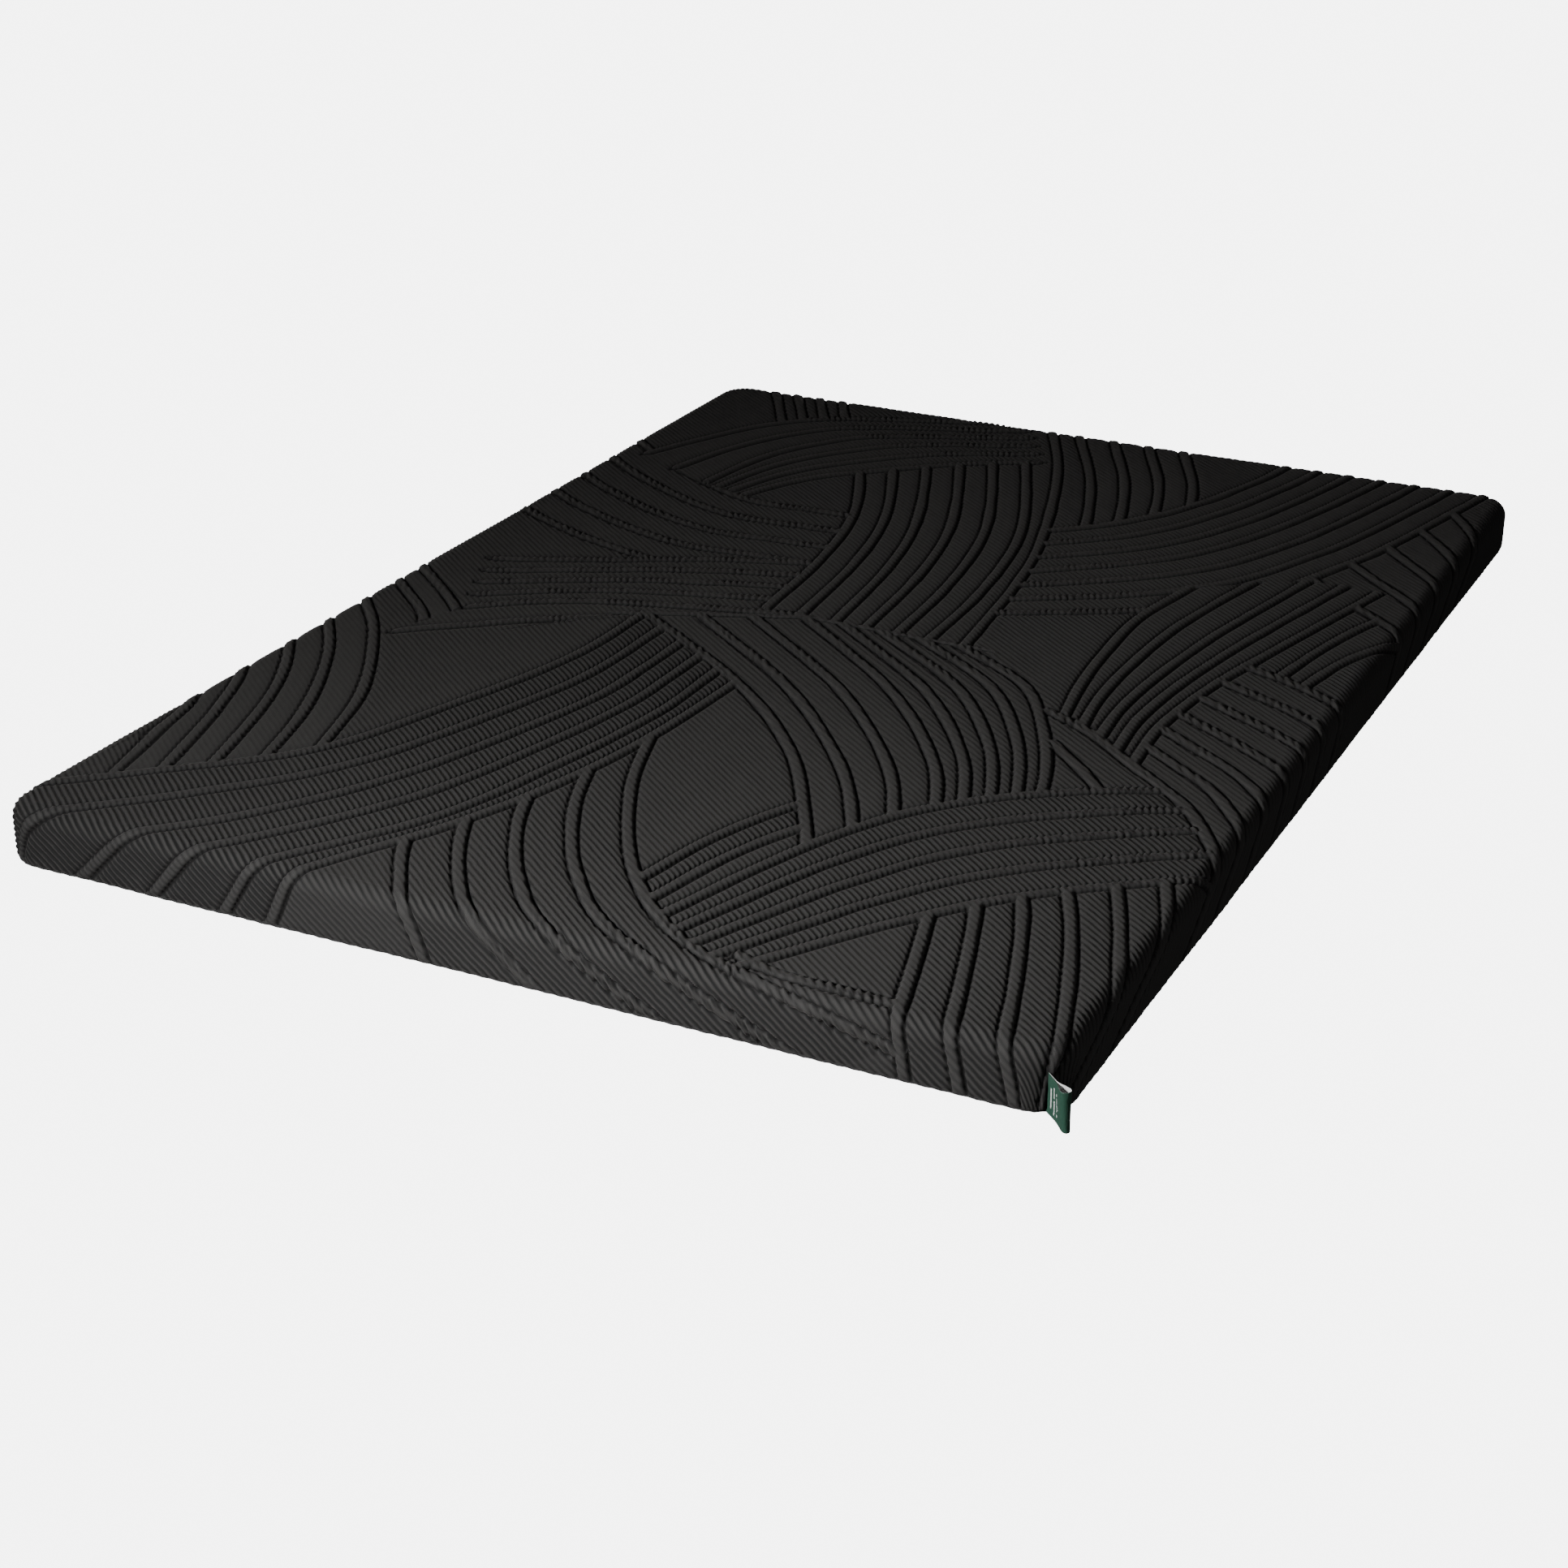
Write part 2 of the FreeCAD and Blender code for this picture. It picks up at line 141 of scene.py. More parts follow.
cover_lo, cover_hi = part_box("cover_top")
base_lo, base_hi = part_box("cover_base")
HALF_X = cover_hi.x
HALF_Y = cover_hi.y
RIGHT, BACK, UP = np.eye(3)


# ------------------------------------------------------------------ numbers
def smooth(x, lo, hi):
    """0 below lo, 1 above hi, and an even S between them."""
    t = np.clip((np.asarray(x, float) - lo) / (hi - lo), 0.0, 1.0)
    return t * t * (3.0 - 2.0 * t)


def noise(p, size, seed):
    """Smooth noise from -1 to 1 over the plane, whose lumps are about size metres across."""
    n = 512                # cells before the noise repeats
    table = np.random.default_rng(seed).uniform(-1.0, 1.0, (n, n))
    q = p / size + 1000.0  # keeps the cell numbers positive
    i = np.floor(q).astype(int)
    f = q - i
    f = f * f * (3.0 - 2.0 * f)
    x0, y0 = i[:, 0] % n, i[:, 1] % n
    x1, y1 = (x0 + 1) % n, (y0 + 1) % n
    low = table[x0, y0] * (1 - f[:, 0]) + table[x1, y0] * f[:, 0]
    high = table[x0, y1] * (1 - f[:, 0]) + table[x1, y1] * f[:, 0]
    return low * (1 - f[:, 1]) + high * f[:, 1]


def phase(p, direction_deg, period):
    """Turns counted across lines that run in a direction, one turn to a period."""
    a = math.radians(direction_deg)
    return (-math.sin(a) * p[:, 0] + math.cos(a) * p[:, 1]) / period


def bell(x, width):
    """1 at 0, falling away to both sides over a width."""
    return np.exp(-(x / width) ** 2)


def unit(v):
    """Each row of v at a length of 1."""
    return v / np.linalg.norm(v, axis=1)[:, None]


def distances(line):
    """How far along a line each of its points is."""
    return np.concatenate([[0], np.cumsum(np.linalg.norm(np.diff(line, axis=0), axis=1))])


def even_points(line, count):
    """Points spaced evenly along a line."""
    along = distances(line)
    at = np.linspace(0, along[-1], count)
    return np.column_stack([np.interp(at, along, line[:, k]) for k in (0, 1)])


# ------------------------------------------------------------------ meshes
def mesh_object(name, verts, quads, body="mattress"):
    """A mesh object from arrays of corners and four-sided faces."""
    mesh = bpy.data.meshes.new(name)
    mesh.vertices.add(len(verts))
    mesh.vertices.foreach_set("co", np.asarray(verts, np.float32).ravel())
    quads = np.asarray(quads, np.int32)
    mesh.loops.add(quads.size)
    mesh.loops.foreach_set("vertex_index", quads.ravel())
    mesh.polygons.add(len(quads))
    mesh.polygons.foreach_set("loop_start", np.arange(0, quads.size, 4, dtype=np.int32))
    mesh.polygons.foreach_set("use_smooth", np.ones(len(quads), bool))
    mesh.update(calc_edges=True)
    mesh.validate()
    obj = bpy.data.objects.new(name, mesh)
    bpy.context.scene.collection.objects.link(obj)
    if body:
        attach(obj, body)
    return obj


def keep_attribute(obj, name, values):
    """Stores one number or one point of three numbers on every vertex."""
    values = np.asarray(values, np.float32)
    if values.ndim == 1:
        layer = obj.data.attributes.new(name, "FLOAT", "POINT")
        layer.data.foreach_set("value", values)
    else:
        layer = obj.data.attributes.new(name, "FLOAT_VECTOR", "POINT")
        layer.data.foreach_set("vector", values.ravel())


def grid_quads(index):
    corners = [index[:-1, :-1], index[:-1, 1:], index[1:, 1:], index[1:, :-1]]
    return np.stack(corners, -1).reshape(-1, 4)


def tube_quads(rings, sides):
    index = np.arange(rings * sides).reshape(rings, sides)
    return grid_quads(np.concatenate([index, index[:, :1]], axis=1))


def grid_rim(index):
    """The vertices round the edge of a grid, each once."""
    return np.concatenate([index[0, :-1], index[:-1, -1], index[-1, :0:-1], index[:0:-1, 0]])


def shell(name, grids, thickness):
    """Thin closed cloths from grids of places on their middles with their normals, as one object.

    Its attributes are cloth, the place on the cloth laid flat, and side, 1 outside and 0 inside."""
    verts, quads, cloth, side = [], [], [], []
    first = 0
    for places, outward in grids:
        turn = np.cross(places[0, 1] - places[0, 0], places[1, 0] - places[0, 0])
        if turn @ outward[0, 0] < 0:
            places, outward = places[::-1], outward[::-1]
        rows, cols = places.shape[:2]
        count = rows * cols
        index = np.arange(count).reshape(rows, cols) + first
        half = outward * thickness / 2
        verts += [(places + half).reshape(-1, 3), (places - half).reshape(-1, 3)]
        rim = grid_rim(index)
        quads += [grid_quads(index), grid_quads(index)[:, ::-1] + count,
                  np.column_stack([rim, rim + count, np.roll(rim + count, -1), np.roll(rim, -1)])]
        steps_along = np.diff(places, axis=1, prepend=places[:, :1])
        steps_across = np.diff(places, axis=0, prepend=places[:1])
        along = np.cumsum(np.linalg.norm(steps_along, axis=2), axis=1)
        across = np.cumsum(np.linalg.norm(steps_across, axis=2), axis=0)
        cloth += [np.stack([along, across, np.zeros_like(along)], -1).reshape(-1, 3)] * 2
        side += [1.0] * count + [0.0] * count
        first += 2 * count
    obj = mesh_object(name, np.concatenate(verts), np.concatenate(quads))
    keep_attribute(obj, "cloth", np.concatenate(cloth))
    keep_attribute(obj, "side", side)
    return obj


def tube(name, path, side_axis, radius, sides):
    """A round wire along a path. side_axis is a direction the path never follows for long."""
    ahead = unit(np.gradient(path, axis=0))
    a = unit(side_axis - ahead * (ahead @ side_axis)[:, None])
    b = np.cross(ahead, a)
    turn = np.linspace(0, 2 * math.pi, sides, endpoint=False)
    ring = np.cos(turn)[:, None] * a[:, None, :] + np.sin(turn)[:, None] * b[:, None, :]
    verts = (path[:, None, :] + radius * ring).reshape(-1, 3)
    return mesh_object(name, verts, tube_quads(len(path), sides))


def stitches(name, centres, along, outward, length, radius):
    """A row of sewn stitches: short plump threads, each dipping into the cloth at both ends."""
    along = np.broadcast_to(along, centres.shape)
    outward = np.broadcast_to(outward, centres.shape)
    rings, sides = 7, 6
    s = np.linspace(-1, 1, rings)
    thick = np.sqrt(np.maximum(1 - s ** 4, 0.0)) * 0.9 + 0.1
    lift = (1 - s ** 2) * radius * 1.2 - radius * 0.9
    turn = np.linspace(0, 2 * math.pi, sides, endpoint=False)
    shape_along = np.repeat(s * length / 2, sides)
    shape_side = (thick[:, None] * np.cos(turn) * radius).ravel()
    shape_up = (lift[:, None] + thick[:, None] * np.sin(turn) * radius).ravel()
    verts = centres[:, None, :]
    for shape, way in ((shape_along, along), (shape_side, np.cross(outward, along)), (shape_up, outward)):
        verts = verts + shape[None, :, None] * way[:, None, :]
    first = np.arange(len(centres)) * rings * sides
    quads = (tube_quads(rings, sides)[None] + first[:, None, None]).reshape(-1, 4)
    return mesh_object(name, verts.reshape(-1, 3), quads)


def row_of(x, y, z):
    """Points with the given x, each of y and z being one number for all or one for each."""
    return np.column_stack([x, np.broadcast_to(y, x.shape), np.broadcast_to(z, x.shape)])


def dress(obj, material, node=None):
    """Gives a piece its material, and hides the CAD node that it stands for."""
    obj.data.materials.append(material)
    if node:
        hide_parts(node)


class Slab:
    """A rounded slab as one even skin: a top sheet, a skirt down its sides and, if closed, an underside.

    Every vertex knows its place on the cloth laid flat, so that a pattern runs on over the edges."""

    def __init__(self, lo, hi, corner_r, top_r, base_r, step, closed):
        self.lo, self.hi = lo, hi
        self.corner_r, self.top_r, self.base_r = corner_r, top_r, base_r
        core_x = (hi[0] - lo[0]) / 2 - corner_r
        core_y = (hi[1] - lo[1]) / 2 - corner_r
        margin = max(3, round((corner_r - top_r) / step))
        centre = np.array([(hi[0] + lo[0]) / 2, (hi[1] + lo[1]) / 2])
        base_x, out_x = self.axis(core_x, math.ceil(2 * core_x / step), margin)
        base_y, out_y = self.axis(core_y, math.ceil(2 * core_y / step), margin)
        cx, cy = np.meshgrid(base_x, base_y)
        ax, ay = np.meshgrid(out_x, out_y)
        core = np.stack([cx, cy], -1) + centre
        reach = np.stack([ax * np.sqrt(1 - ay ** 2 / 2), ay * np.sqrt(1 - ax ** 2 / 2)], -1)
        rows, cols = cx.shape
        parts = []

        def add(plan, z, out, up, flat, down, quads):
            """Vertices at one height: their plan, normals, places on the flat cloth and length down it."""
            n = len(plan)
            parts.append((np.column_stack([plan, np.full(n, z)]), np.column_stack([out, np.full(n, up)]),
                          flat, np.full(n, down), quads))

        r_in = corner_r - top_r
        top = (core + reach * r_in).reshape(-1, 2)
        index = np.arange(rows * cols).reshape(rows, cols)
        loop = grid_rim(index)
        self.loop_core = core.reshape(-1, 2)[loop]
        self.loop_out = reach.reshape(-1, 2)[loop]
        self.count = len(loop)
        add(top, hi[2], np.zeros_like(top), 1.0, top, 0.0, grid_quads(index))
        above = loop
        self.skirt_start = rows * cols
        self.stations = self.profile(step)
        for n, (out, z, n_out, n_z, s) in enumerate(self.stations):
            below = self.skirt_start + n * self.count + np.arange(self.count)
            add(self.loop_core + self.loop_out * (r_in + out), z, self.loop_out * n_out, n_z,
                self.loop_core + self.loop_out * (r_in + s), s,
                np.column_stack([above, below, np.roll(below, -1), np.roll(above, -1)]))
            above = below
        if closed:
            under = np.full(rows * cols, -1)
            under[loop] = above
            inner = under < 0
            under[inner] = above[-1] + 1 + np.arange(inner.sum())
            low = (core + reach * (corner_r - base_r)).reshape(-1, 2)[inner]
            add(low, lo[2], np.zeros_like(low), -1.0, low, self.stations[-1][4],
                grid_quads(under.reshape(rows, cols))[:, ::-1])
        self.verts, self.normals, self.flat, self.down, self.quads = map(np.concatenate, zip(*parts))

    @staticmethod
    def axis(core, cells, margin):
        """Grid lines across one side: their place on the core, and their share of the rounded margin."""
        share = np.linspace(0.0, 1.0, margin + 1)[1:]
        end = np.full(margin, core)
        base = np.concatenate([-end, np.linspace(-core, core, cells + 1), end])
        out = np.concatenate([-share[::-1], np.zeros(cells + 1), share])
        return base, out

    def profile(self, step):
        """Rows of the skirt, from the top sheet's rim down: reach, height, normal and length of cloth."""
        rows = []
        n = max(3, round(self.top_r * math.pi / 2 / step))
        for j in range(1, n + 1):
            a = math.pi / 2 * j / n
            rows.append((self.top_r * math.sin(a), self.hi[2] - self.top_r * (1 - math.cos(a)),
                         math.sin(a), math.cos(a), self.top_r * a))
        s = self.top_r * math.pi / 2
        z0 = self.hi[2] - self.top_r
        wall = z0 - self.lo[2] - self.base_r
        n = max(1, round(wall / step))
        for j in range(1, n + 1):
            rows.append((self.top_r, z0 - wall * j / n, 1.0, 0.0, s + wall * j / n))
        s += wall
        if self.base_r > 0:
            n = max(3, round(self.base_r * math.pi / 2 / step))
            for j in range(1, n + 1):
                a = math.pi / 2 * j / n
                rows.append((self.top_r - self.base_r * (1 - math.cos(a)),
                             self.lo[2] + self.base_r * (1 - math.sin(a)),
                             math.cos(a), -math.sin(a), s + self.base_r * a))
        return rows

    def seam_distance(self):
        """Distance along the cloth from the nearest corner seam, large on the top and straight sides."""
        out = np.tile(np.abs(self.loop_out), (len(self.stations), 1))
        angle = np.degrees(np.arctan2(out[:, 1], out[:, 0]))
        d = np.full(len(self.verts), 1.0)
        skirt = slice(self.skirt_start, self.skirt_start + len(out))
        d[skirt] = np.radians(np.abs(angle - SEAM_DEG)) * self.corner_r
        return d


# ------------------------------------------------------------------ tubes of the knit
# The tubes run in fans. A fan is given by guide tubes, each with its number in the fan and points in
# millimetres on the cloth laid flat, and the tubes between are spaced evenly. A later fan lies on the
# earlier ones. "fade" lets a fan's tubes sink away at their ends, and "hem" runs one more tube along the
# ends at its start. The number after it is how strongly the diagonal ribs stand between the tubes, and
# how dark the painted shade in their valleys is.
FANS = [
    ("far left corner", "", 0.7, {
        0: [(-660, 1070), (-590, 960), (-510, 820), (-440, 720)],
        3: [(-520, 1080), (-462, 960), (-425, 890), (-370, 780)]}),
    ("left side", "", 0.28, {
        0: [(-790, -90), (-690, -199), (-600, -312), (-496, -499), (-440, -680)],
        2: [(-790, -260), (-690, -388), (-618, -515), (-565, -665), (-515, -860)],
        4: [(-790, -470), (-690, -612), (-655, -740), (-625, -870), (-580, -1050)]}),
    ("left side, short", "", 0.28, {
        0: [(-790, 60), (-690, -45), (-600, -125), (-545, -180), (-506, -226)],
        1: [(-790, -10), (-690, -110), (-620, -175), (-580, -215), (-548, -262)]}),
    ("far edge", "", 0.7, {
        0: [(-75, 1080), (-20, 960), (60, 790), (120, 620), (160, 470)],
        3: [(110, 1080), (160, 970), (225, 820), (262, 680), (280, 540)]}),
    ("right side, upper", "", 0.7, {
        0: [(690, 440), (640, 330), (608, 200), (580, 40)],
        1: [(745, 400), (695, 290), (650, 180), (618, 20)]}),
    ("far right edge", "", 0.7, {
        0: [(610, 905), (655, 845), (700, 765), (790, 610)],
        4: [(480, 535), (560, 450), (650, 373), (790, 240)]}),
    ("far right arcs", "", 0.7, {
        0: [(345, 1090), (318, 920), (250, 715), (165, 585), (60, 490)],
        3: [(510, 1090), (475, 920), (405, 680), (300, 480), (100, 305)],
        6: [(680, 1090), (635, 890), (550, 575), (405, 310), (100, 120)]}),
    ("left sweep", "", 0.9, {
        0: [(-790, 730), (-610, 565), (-405, 447), (-250, 440), (-130, 445)],
        4: [(-790, 320), (-610, 205), (-400, 132), (-250, 140), (-130, 150)]}),
    ("middle gathers", "fade", 0.7, {
        0: [(-620, 20), (-450, 98), (-300, 172), (-30, 270)],
        4: [(-545, -170), (-440, -92), (-300, -35), (-30, 38)],
        5: [(-586, -299), (-500, -225), (-370, -130), (-200, -40)]}),
    ("far centre", "", 0.7, {
        0: [(-400, 860), (-300, 675), (-210, 457), (-168, 250), (-150, 20)],
        2: [(-300, 930), (-200, 720), (-105, 460), (-60, 250), (-38, 10)],
        5: [(-140, 990), (-60, 810), (58, 490), (102, 220), (108, 0)],
        6: [(-125, 1080), (0, 800), (97, 480), (137, 270), (163, 0)]}),
    ("far left arcs", "fade", 0.6, {
        0: [(-412, 445), (-350, 575), (-245, 680), (-130, 775), (-28, 830)],
        3: [(-490, 470), (-465, 635), (-412, 750), (-330, 835), (-90, 945)],
        5: [(-650, 560), (-600, 680), (-530, 810), (-420, 900), (-130, 1010)]}),
    ("short pair", "", 1.6, {
        0: [(225, -480), (165, -600), (130, -700), (107, -820), (85, -900)],
        1: [(262, -540), (205, -640), (172, -730), (145, -855), (125, -950)]}),
    ("great arcs", "hem", 0.8, {
        0: [(-295, -72), (-60, -245), (100, -415), (200, -580), (262, -700)],
        1: [(-225, -40), (0, -222), (170, -418), (262, -575), (310, -700)],
        3: [(-85, 18), (130, -172), (275, -360), (345, -515), (385, -640)],
        7: [(155, 15), (288, -80), (365, -205), (425, -350), (465, -520)]}),
    ("near right corner", "", 1.3, {
        0: [(425, -700), (452, -790), (488, -920), (508, -1000), (524, -1090)],
        3: [(535, -580), (588, -690), (640, -830), (688, -985), (718, -1090)],
        5: [(630, -490), (680, -620), (735, -770), (790, -900), (830, -1020)]}),
    ("right sweep", "", 1.4, {
        0: [(720, -264), (500, -360), (340, -488), (248, -651), (165, -925)],
        2: [(780, -350), (600, -441), (430, -575), (330, -726), (230, -960)],
        4: [(800, -458), (650, -566), (515, -678), (410, -808), (300, -982)]}),
    ("right side, middle", "", 0.7, {
        0: [(480, 145), (545, 115), (640, 72), (790, -30)],
        3: [(470, -55), (560, -112), (660, -180), (790, -290)],
        6: [(480, -240), (560, -309), (637, -388), (790, -640)]}),
    ("right centre", "", 0.8, {
        0: [(372, 380), (344, 220), (347, 70), (358, -45), (376, -155)],
        2: [(520, 490), (465, 220), (441, 40), (434, -90), (442, -200)],
        4: [(625, 480), (560, 210), (518, 30), (501, -130), (509, -258)]}),
    ("short line", "", 1.0, {0: [(392, -243), (425, -276), (463, -315), (503, -362)]}),
    ("long line", "", 1.0, {
        0: [(346, -148), (430, -196), (516, -272), (600, -345), (668, -436), (790, -640)]}),
    ("short gather", "", 1.2, {0: [(290, -945), (350, -965), (430, -970), (500, -972)]}),
    ("near centre", "", 1.3, {
        0: [(-88, -430), (-20, -620), (100, -825), (250, -957), (515, -1035)],
        1: [(-108, -560), (-55, -700), (35, -850), (160, -970), (420, -1085)],
        4: [(-210, -830), (-175, -900), (-135, -965), (-105, -1015), (-75, -1090)]}),
    ("left of centre", "", 1.7, {
        0: [(-297, -72), (-305, -250), (-360, -470), (-440, -680), (-600, -845), (-790, -1010)],
        2: [(-197, -143), (-205, -350), (-240, -510), (-305, -710), (-420, -900), (-600, -1090)],
        4: [(-105, -211), (-110, -400), (-150, -620), (-200, -790), (-300, -960), (-380, -1090)],
        5: [(-63, -242), (-78, -460), (-108, -620), (-165, -790), (-245, -950), (-310, -1090)]}),
]
FAN_CELL = 0.006           # cell of the search grid that finds a place's tube
FAN_REACH = 0.7            # the search goes this many tubes past a fan's first and last
FIND_STEPS = 4
FIND_TOL = 0.002
LONE_SPACING = 0.04        # a lone tube's fan gets a second guide this far beside it
END_MARGIN = 0.009         # a fan covers the ones below it except this near its ends
FAR_OFF = 0.1              # the distance to a tube where there is none
TINY = 1e-9


def spline_weights(t, n):
    """Weights of n even control points of a smooth curve at each t from 0 to 1, and their slopes."""
    def at(t):
        x = np.clip(t, 0.0, 1.0) * (n - 1)
        i = np.minimum(x.astype(int), n - 2)
        f = x - i
        w = np.zeros((len(t), n + 2))
        rows = np.arange(len(t))
        w[rows, i] = -0.5 * f + f ** 2 - 0.5 * f ** 3
        w[rows, i + 1] = 1 - 2.5 * f ** 2 + 1.5 * f ** 3
        w[rows, i + 2] = 0.5 * f + 2 * f ** 2 - 1.5 * f ** 3
        w[rows, i + 3] = -0.5 * f ** 2 + 0.5 * f ** 3
        inner = w[:, 1:-1].copy()
        inner[:, 0] += 2 * w[:, 0]
        inner[:, 1] -= w[:, 0]
        inner[:, -1] += 2 * w[:, -1]
        inner[:, -2] -= w[:, -1]
        return inner
    h = 1e-4               # half the step that the slope is taken over
    t0 = np.clip(t, h, 1 - h)
    return at(t), (at(t0 + h) - at(t0 - h)) / (2 * h)


def guide_weights(k, numbers):
    """Weights of the guide tubes at each tube number k, and their slopes."""
    i = np.clip(np.searchsorted(numbers, k, side="right") - 1, 0, len(numbers) - 2)
    gap = numbers[i + 1] - numbers[i]
    f = (k - numbers[i]) / gap
    rows = np.arange(len(k))
    w = np.zeros((len(k), len(numbers)))
    dw = np.zeros_like(w)
    w[rows, i] = 1 - f
    w[rows, i + 1] = f
    dw[rows, i] = -1 / gap
    dw[rows, i + 1] = 1 / gap
    return w, dw


class Fan:
    """A bundle of tubes, with the tube number and the place along it found for any point of the cloth."""

    def __init__(self, guides):
        self.numbers = np.array(sorted(guides), float)
        self.points = np.array([guides[n] for n in sorted(guides)], float) * MM
        self.last = self.numbers[-1]
        if len(self.numbers) == 1:
            self.numbers = np.array([0.0, 1.0])
            along = np.gradient(self.points[0], axis=0)
            side = unit(np.column_stack([-along[:, 1], along[:, 0]]))
            self.points = np.stack([self.points[0], self.points[0] + side * LONE_SPACING])
        self.steps = self.points.shape[1]

    def at(self, k, t):
        """Place, and its slopes along k and t."""
        b, db = spline_weights(t, self.steps)
        w, dw = guide_weights(k, self.numbers)
        place = np.einsum("ni,nj,ijc->nc", w, b, self.points)
        along_k = np.einsum("ni,nj,ijc->nc", dw, b, self.points)
        along_t = np.einsum("ni,nj,ijc->nc", w, db, self.points)
        return place, along_k, along_t

    def find(self, p):
        """Indices of the points within the fan, with their k and t, by a coarse search and Newton steps."""
        length = np.linalg.norm(np.diff(self.points, axis=1), axis=2).sum(1).max()
        width = np.linalg.norm(np.diff(self.points, axis=0), axis=2).sum(0).max() + 0.05
        nt = int(length * 1.25 / FAN_CELL * 1.5)
        nk = int(width / FAN_CELL * 2.5) + 4
        tt, kk = np.meshgrid(np.linspace(0, 1, nt), np.linspace(-FAN_REACH, self.last + FAN_REACH, nk))
        tt, kk = tt.ravel(), kk.ravel()
        place, _, _ = self.at(kk, tt)
        lo = place.min(0) - FAN_CELL
        size = np.ceil((place.max(0) + FAN_CELL - lo) / FAN_CELL).astype(int) + 1
        grid = np.full(size[0] * size[1], -1)
        cell = ((place - lo) / FAN_CELL).astype(int)
        grid[cell[:, 0] * size[1] + cell[:, 1]] = np.arange(len(tt))
        mine = ((p - lo) / FAN_CELL).astype(int)
        ok = ((p >= lo) & (mine < size)).all(1)
        found = np.full(len(p), -1)
        found[ok] = grid[mine[ok, 0] * size[1] + mine[ok, 1]]
        hit = np.nonzero(found >= 0)[0]
        k, t = kk[found[hit]], tt[found[hit]]
        target = p[hit]
        for _ in range(FIND_STEPS):
            place, a, b = self.at(k, t)
            d = target - place
            det = a[:, 0] * b[:, 1] - a[:, 1] * b[:, 0]
            det = np.where(np.abs(det) < TINY, TINY, det)
            k = k + np.clip((d[:, 0] * b[:, 1] - d[:, 1] * b[:, 0]) / det, -1, 1)
            t = t + np.clip((a[:, 0] * d[:, 1] - a[:, 1] * d[:, 0]) / det, -0.1, 0.1)
            k = np.clip(k, -1.5, self.last + 1.5)
            t = np.clip(t, -0.02, 1.02)
        place, a, b = self.at(k, t)
        good = (np.linalg.norm(target - place, axis=1) < FIND_TOL) & (t >= 0) & (t <= 1)
        return hit[good], k[good], t[good], a[good], b[good]


def tube_field(p):
    """Distance from each point of the cloth to its nearest tube, how far the point is on the tube's deeply
    tucked side, how much that tube is gathered, and the fan on top."""
    dist = np.full(len(p), FAR_OFF)
    gather = np.zeros(len(p))
    lean = np.zeros(len(p))
    owner = np.full(len(p), -1)
    for number, (_, ends, _, guides) in enumerate(FANS):
        fan = Fan(guides)
        hit, k, t, a, b = fan.find(p)
        length = np.maximum(np.linalg.norm(b, axis=1), TINY)
        across = np.abs(a[:, 0] * b[:, 1] - a[:, 1] * b[:, 0]) / length
        near = np.clip(np.round(k), 0, fan.last)
        own = np.abs(k - near) * across
        own_gather = smooth(np.abs(b[:, 0]) / length, GATHER_FROM, GATHER_FULL)
        left = np.column_stack([-b[:, 1], b[:, 0]]) / length[:, None]
        own_lean = (left @ TUCK_SIDE) * np.sign((k - near) * (a * left).sum(1))
        to_end = np.minimum(t, 1 - t) * length
        if ends == "fade":
            own = own + (1 - smooth(to_end, 0.0, END_FADE)) * TUBE_HALF_W
        if ends == "hem":
            from_start = t * length
            closer = from_start < own
            own = np.where(closer, from_start, own)
            own_gather = np.where(closer, 0.5, own_gather)
            own_lean = np.where(closer, (b / length[:, None]) @ TUCK_SIDE, own_lean)
        inside = (k >= 0) & (k <= fan.last) & (to_end > END_MARGIN)
        lower = dist[hit]
        take = inside | (own < lower)
        dist[hit] = np.where(take, own, lower)
        gather[hit] = np.where(take, own_gather, gather[hit])
        lean[hit] = np.where(take, own_lean, lean[hit])
        owner[hit] = np.where(inside, number, owner[hit])
    return dist, lean, gather, owner


def relief(p):
    """Height of the knit over each point of the cloth, with its distance to a tube, how wide the tuck beside
    that tube is, its gathers and its rib strength."""
    dist, lean, gather, owner = tube_field(p)
    tuck = GROOVE_HALF_W * (1 + TUCK_MORE * np.maximum(lean, 0.0))
    rib = np.cos(2 * math.pi * phase(p, TWILL_DEG, TWILL_PERIOD))
    wander = noise(p, 0.035, 11) * PUCKER_WANDER
    pucker = np.cos(2 * math.pi * (phase(p, PUCKER_DEG, PUCKER_PERIOD) + wander))
    lively = 0.55 + 0.45 * noise(p, 0.018, 5)
    push = gather * PUCKER_WIDENS * pucker + (1 - gather) * TWILL_WIDENS * rib
    width = 1 + TUBE_VARIES * noise(p, 0.06, 21) + lively * push
    dist = np.minimum(dist / width, 0.04)
    d = dist / TUBE_HALF_W
    crown = (1 - np.clip(d, 0, 1) ** 3.2) ** 0.8
    groove = bell(dist - TUBE_HALF_W - tuck * 0.5, tuck)
    flat = smooth(d, 1.0, 1.3)
    strength = np.array([f[2] for f in FANS] + [1.0])[owner]
    height = FLAT_LEVEL + TUBE_H * crown * (1 - 0.22 * gather)
    height -= GROOVE_DEPTH * groove * (1 - 0.15 * gather)
    on_tube = (1 - flat) * lively * (0.80 + 0.20 * gather)
    height += TWILL_H * rib * (flat * (1 - 0.5 * groove) * strength + on_tube)
    height += PUCKER_H * gather * (1 - flat) * pucker * lively
    height += PUCKER_TRAIL_H * gather * flat * pucker * lively * smooth(0.03 - dist, 0.0, 0.02)
    height += FIELD_PUFF * smooth(dist, TUBE_HALF_W, TUBE_HALF_W + 0.014)
    return height, dist, tuck, gather * pucker * lively, strength


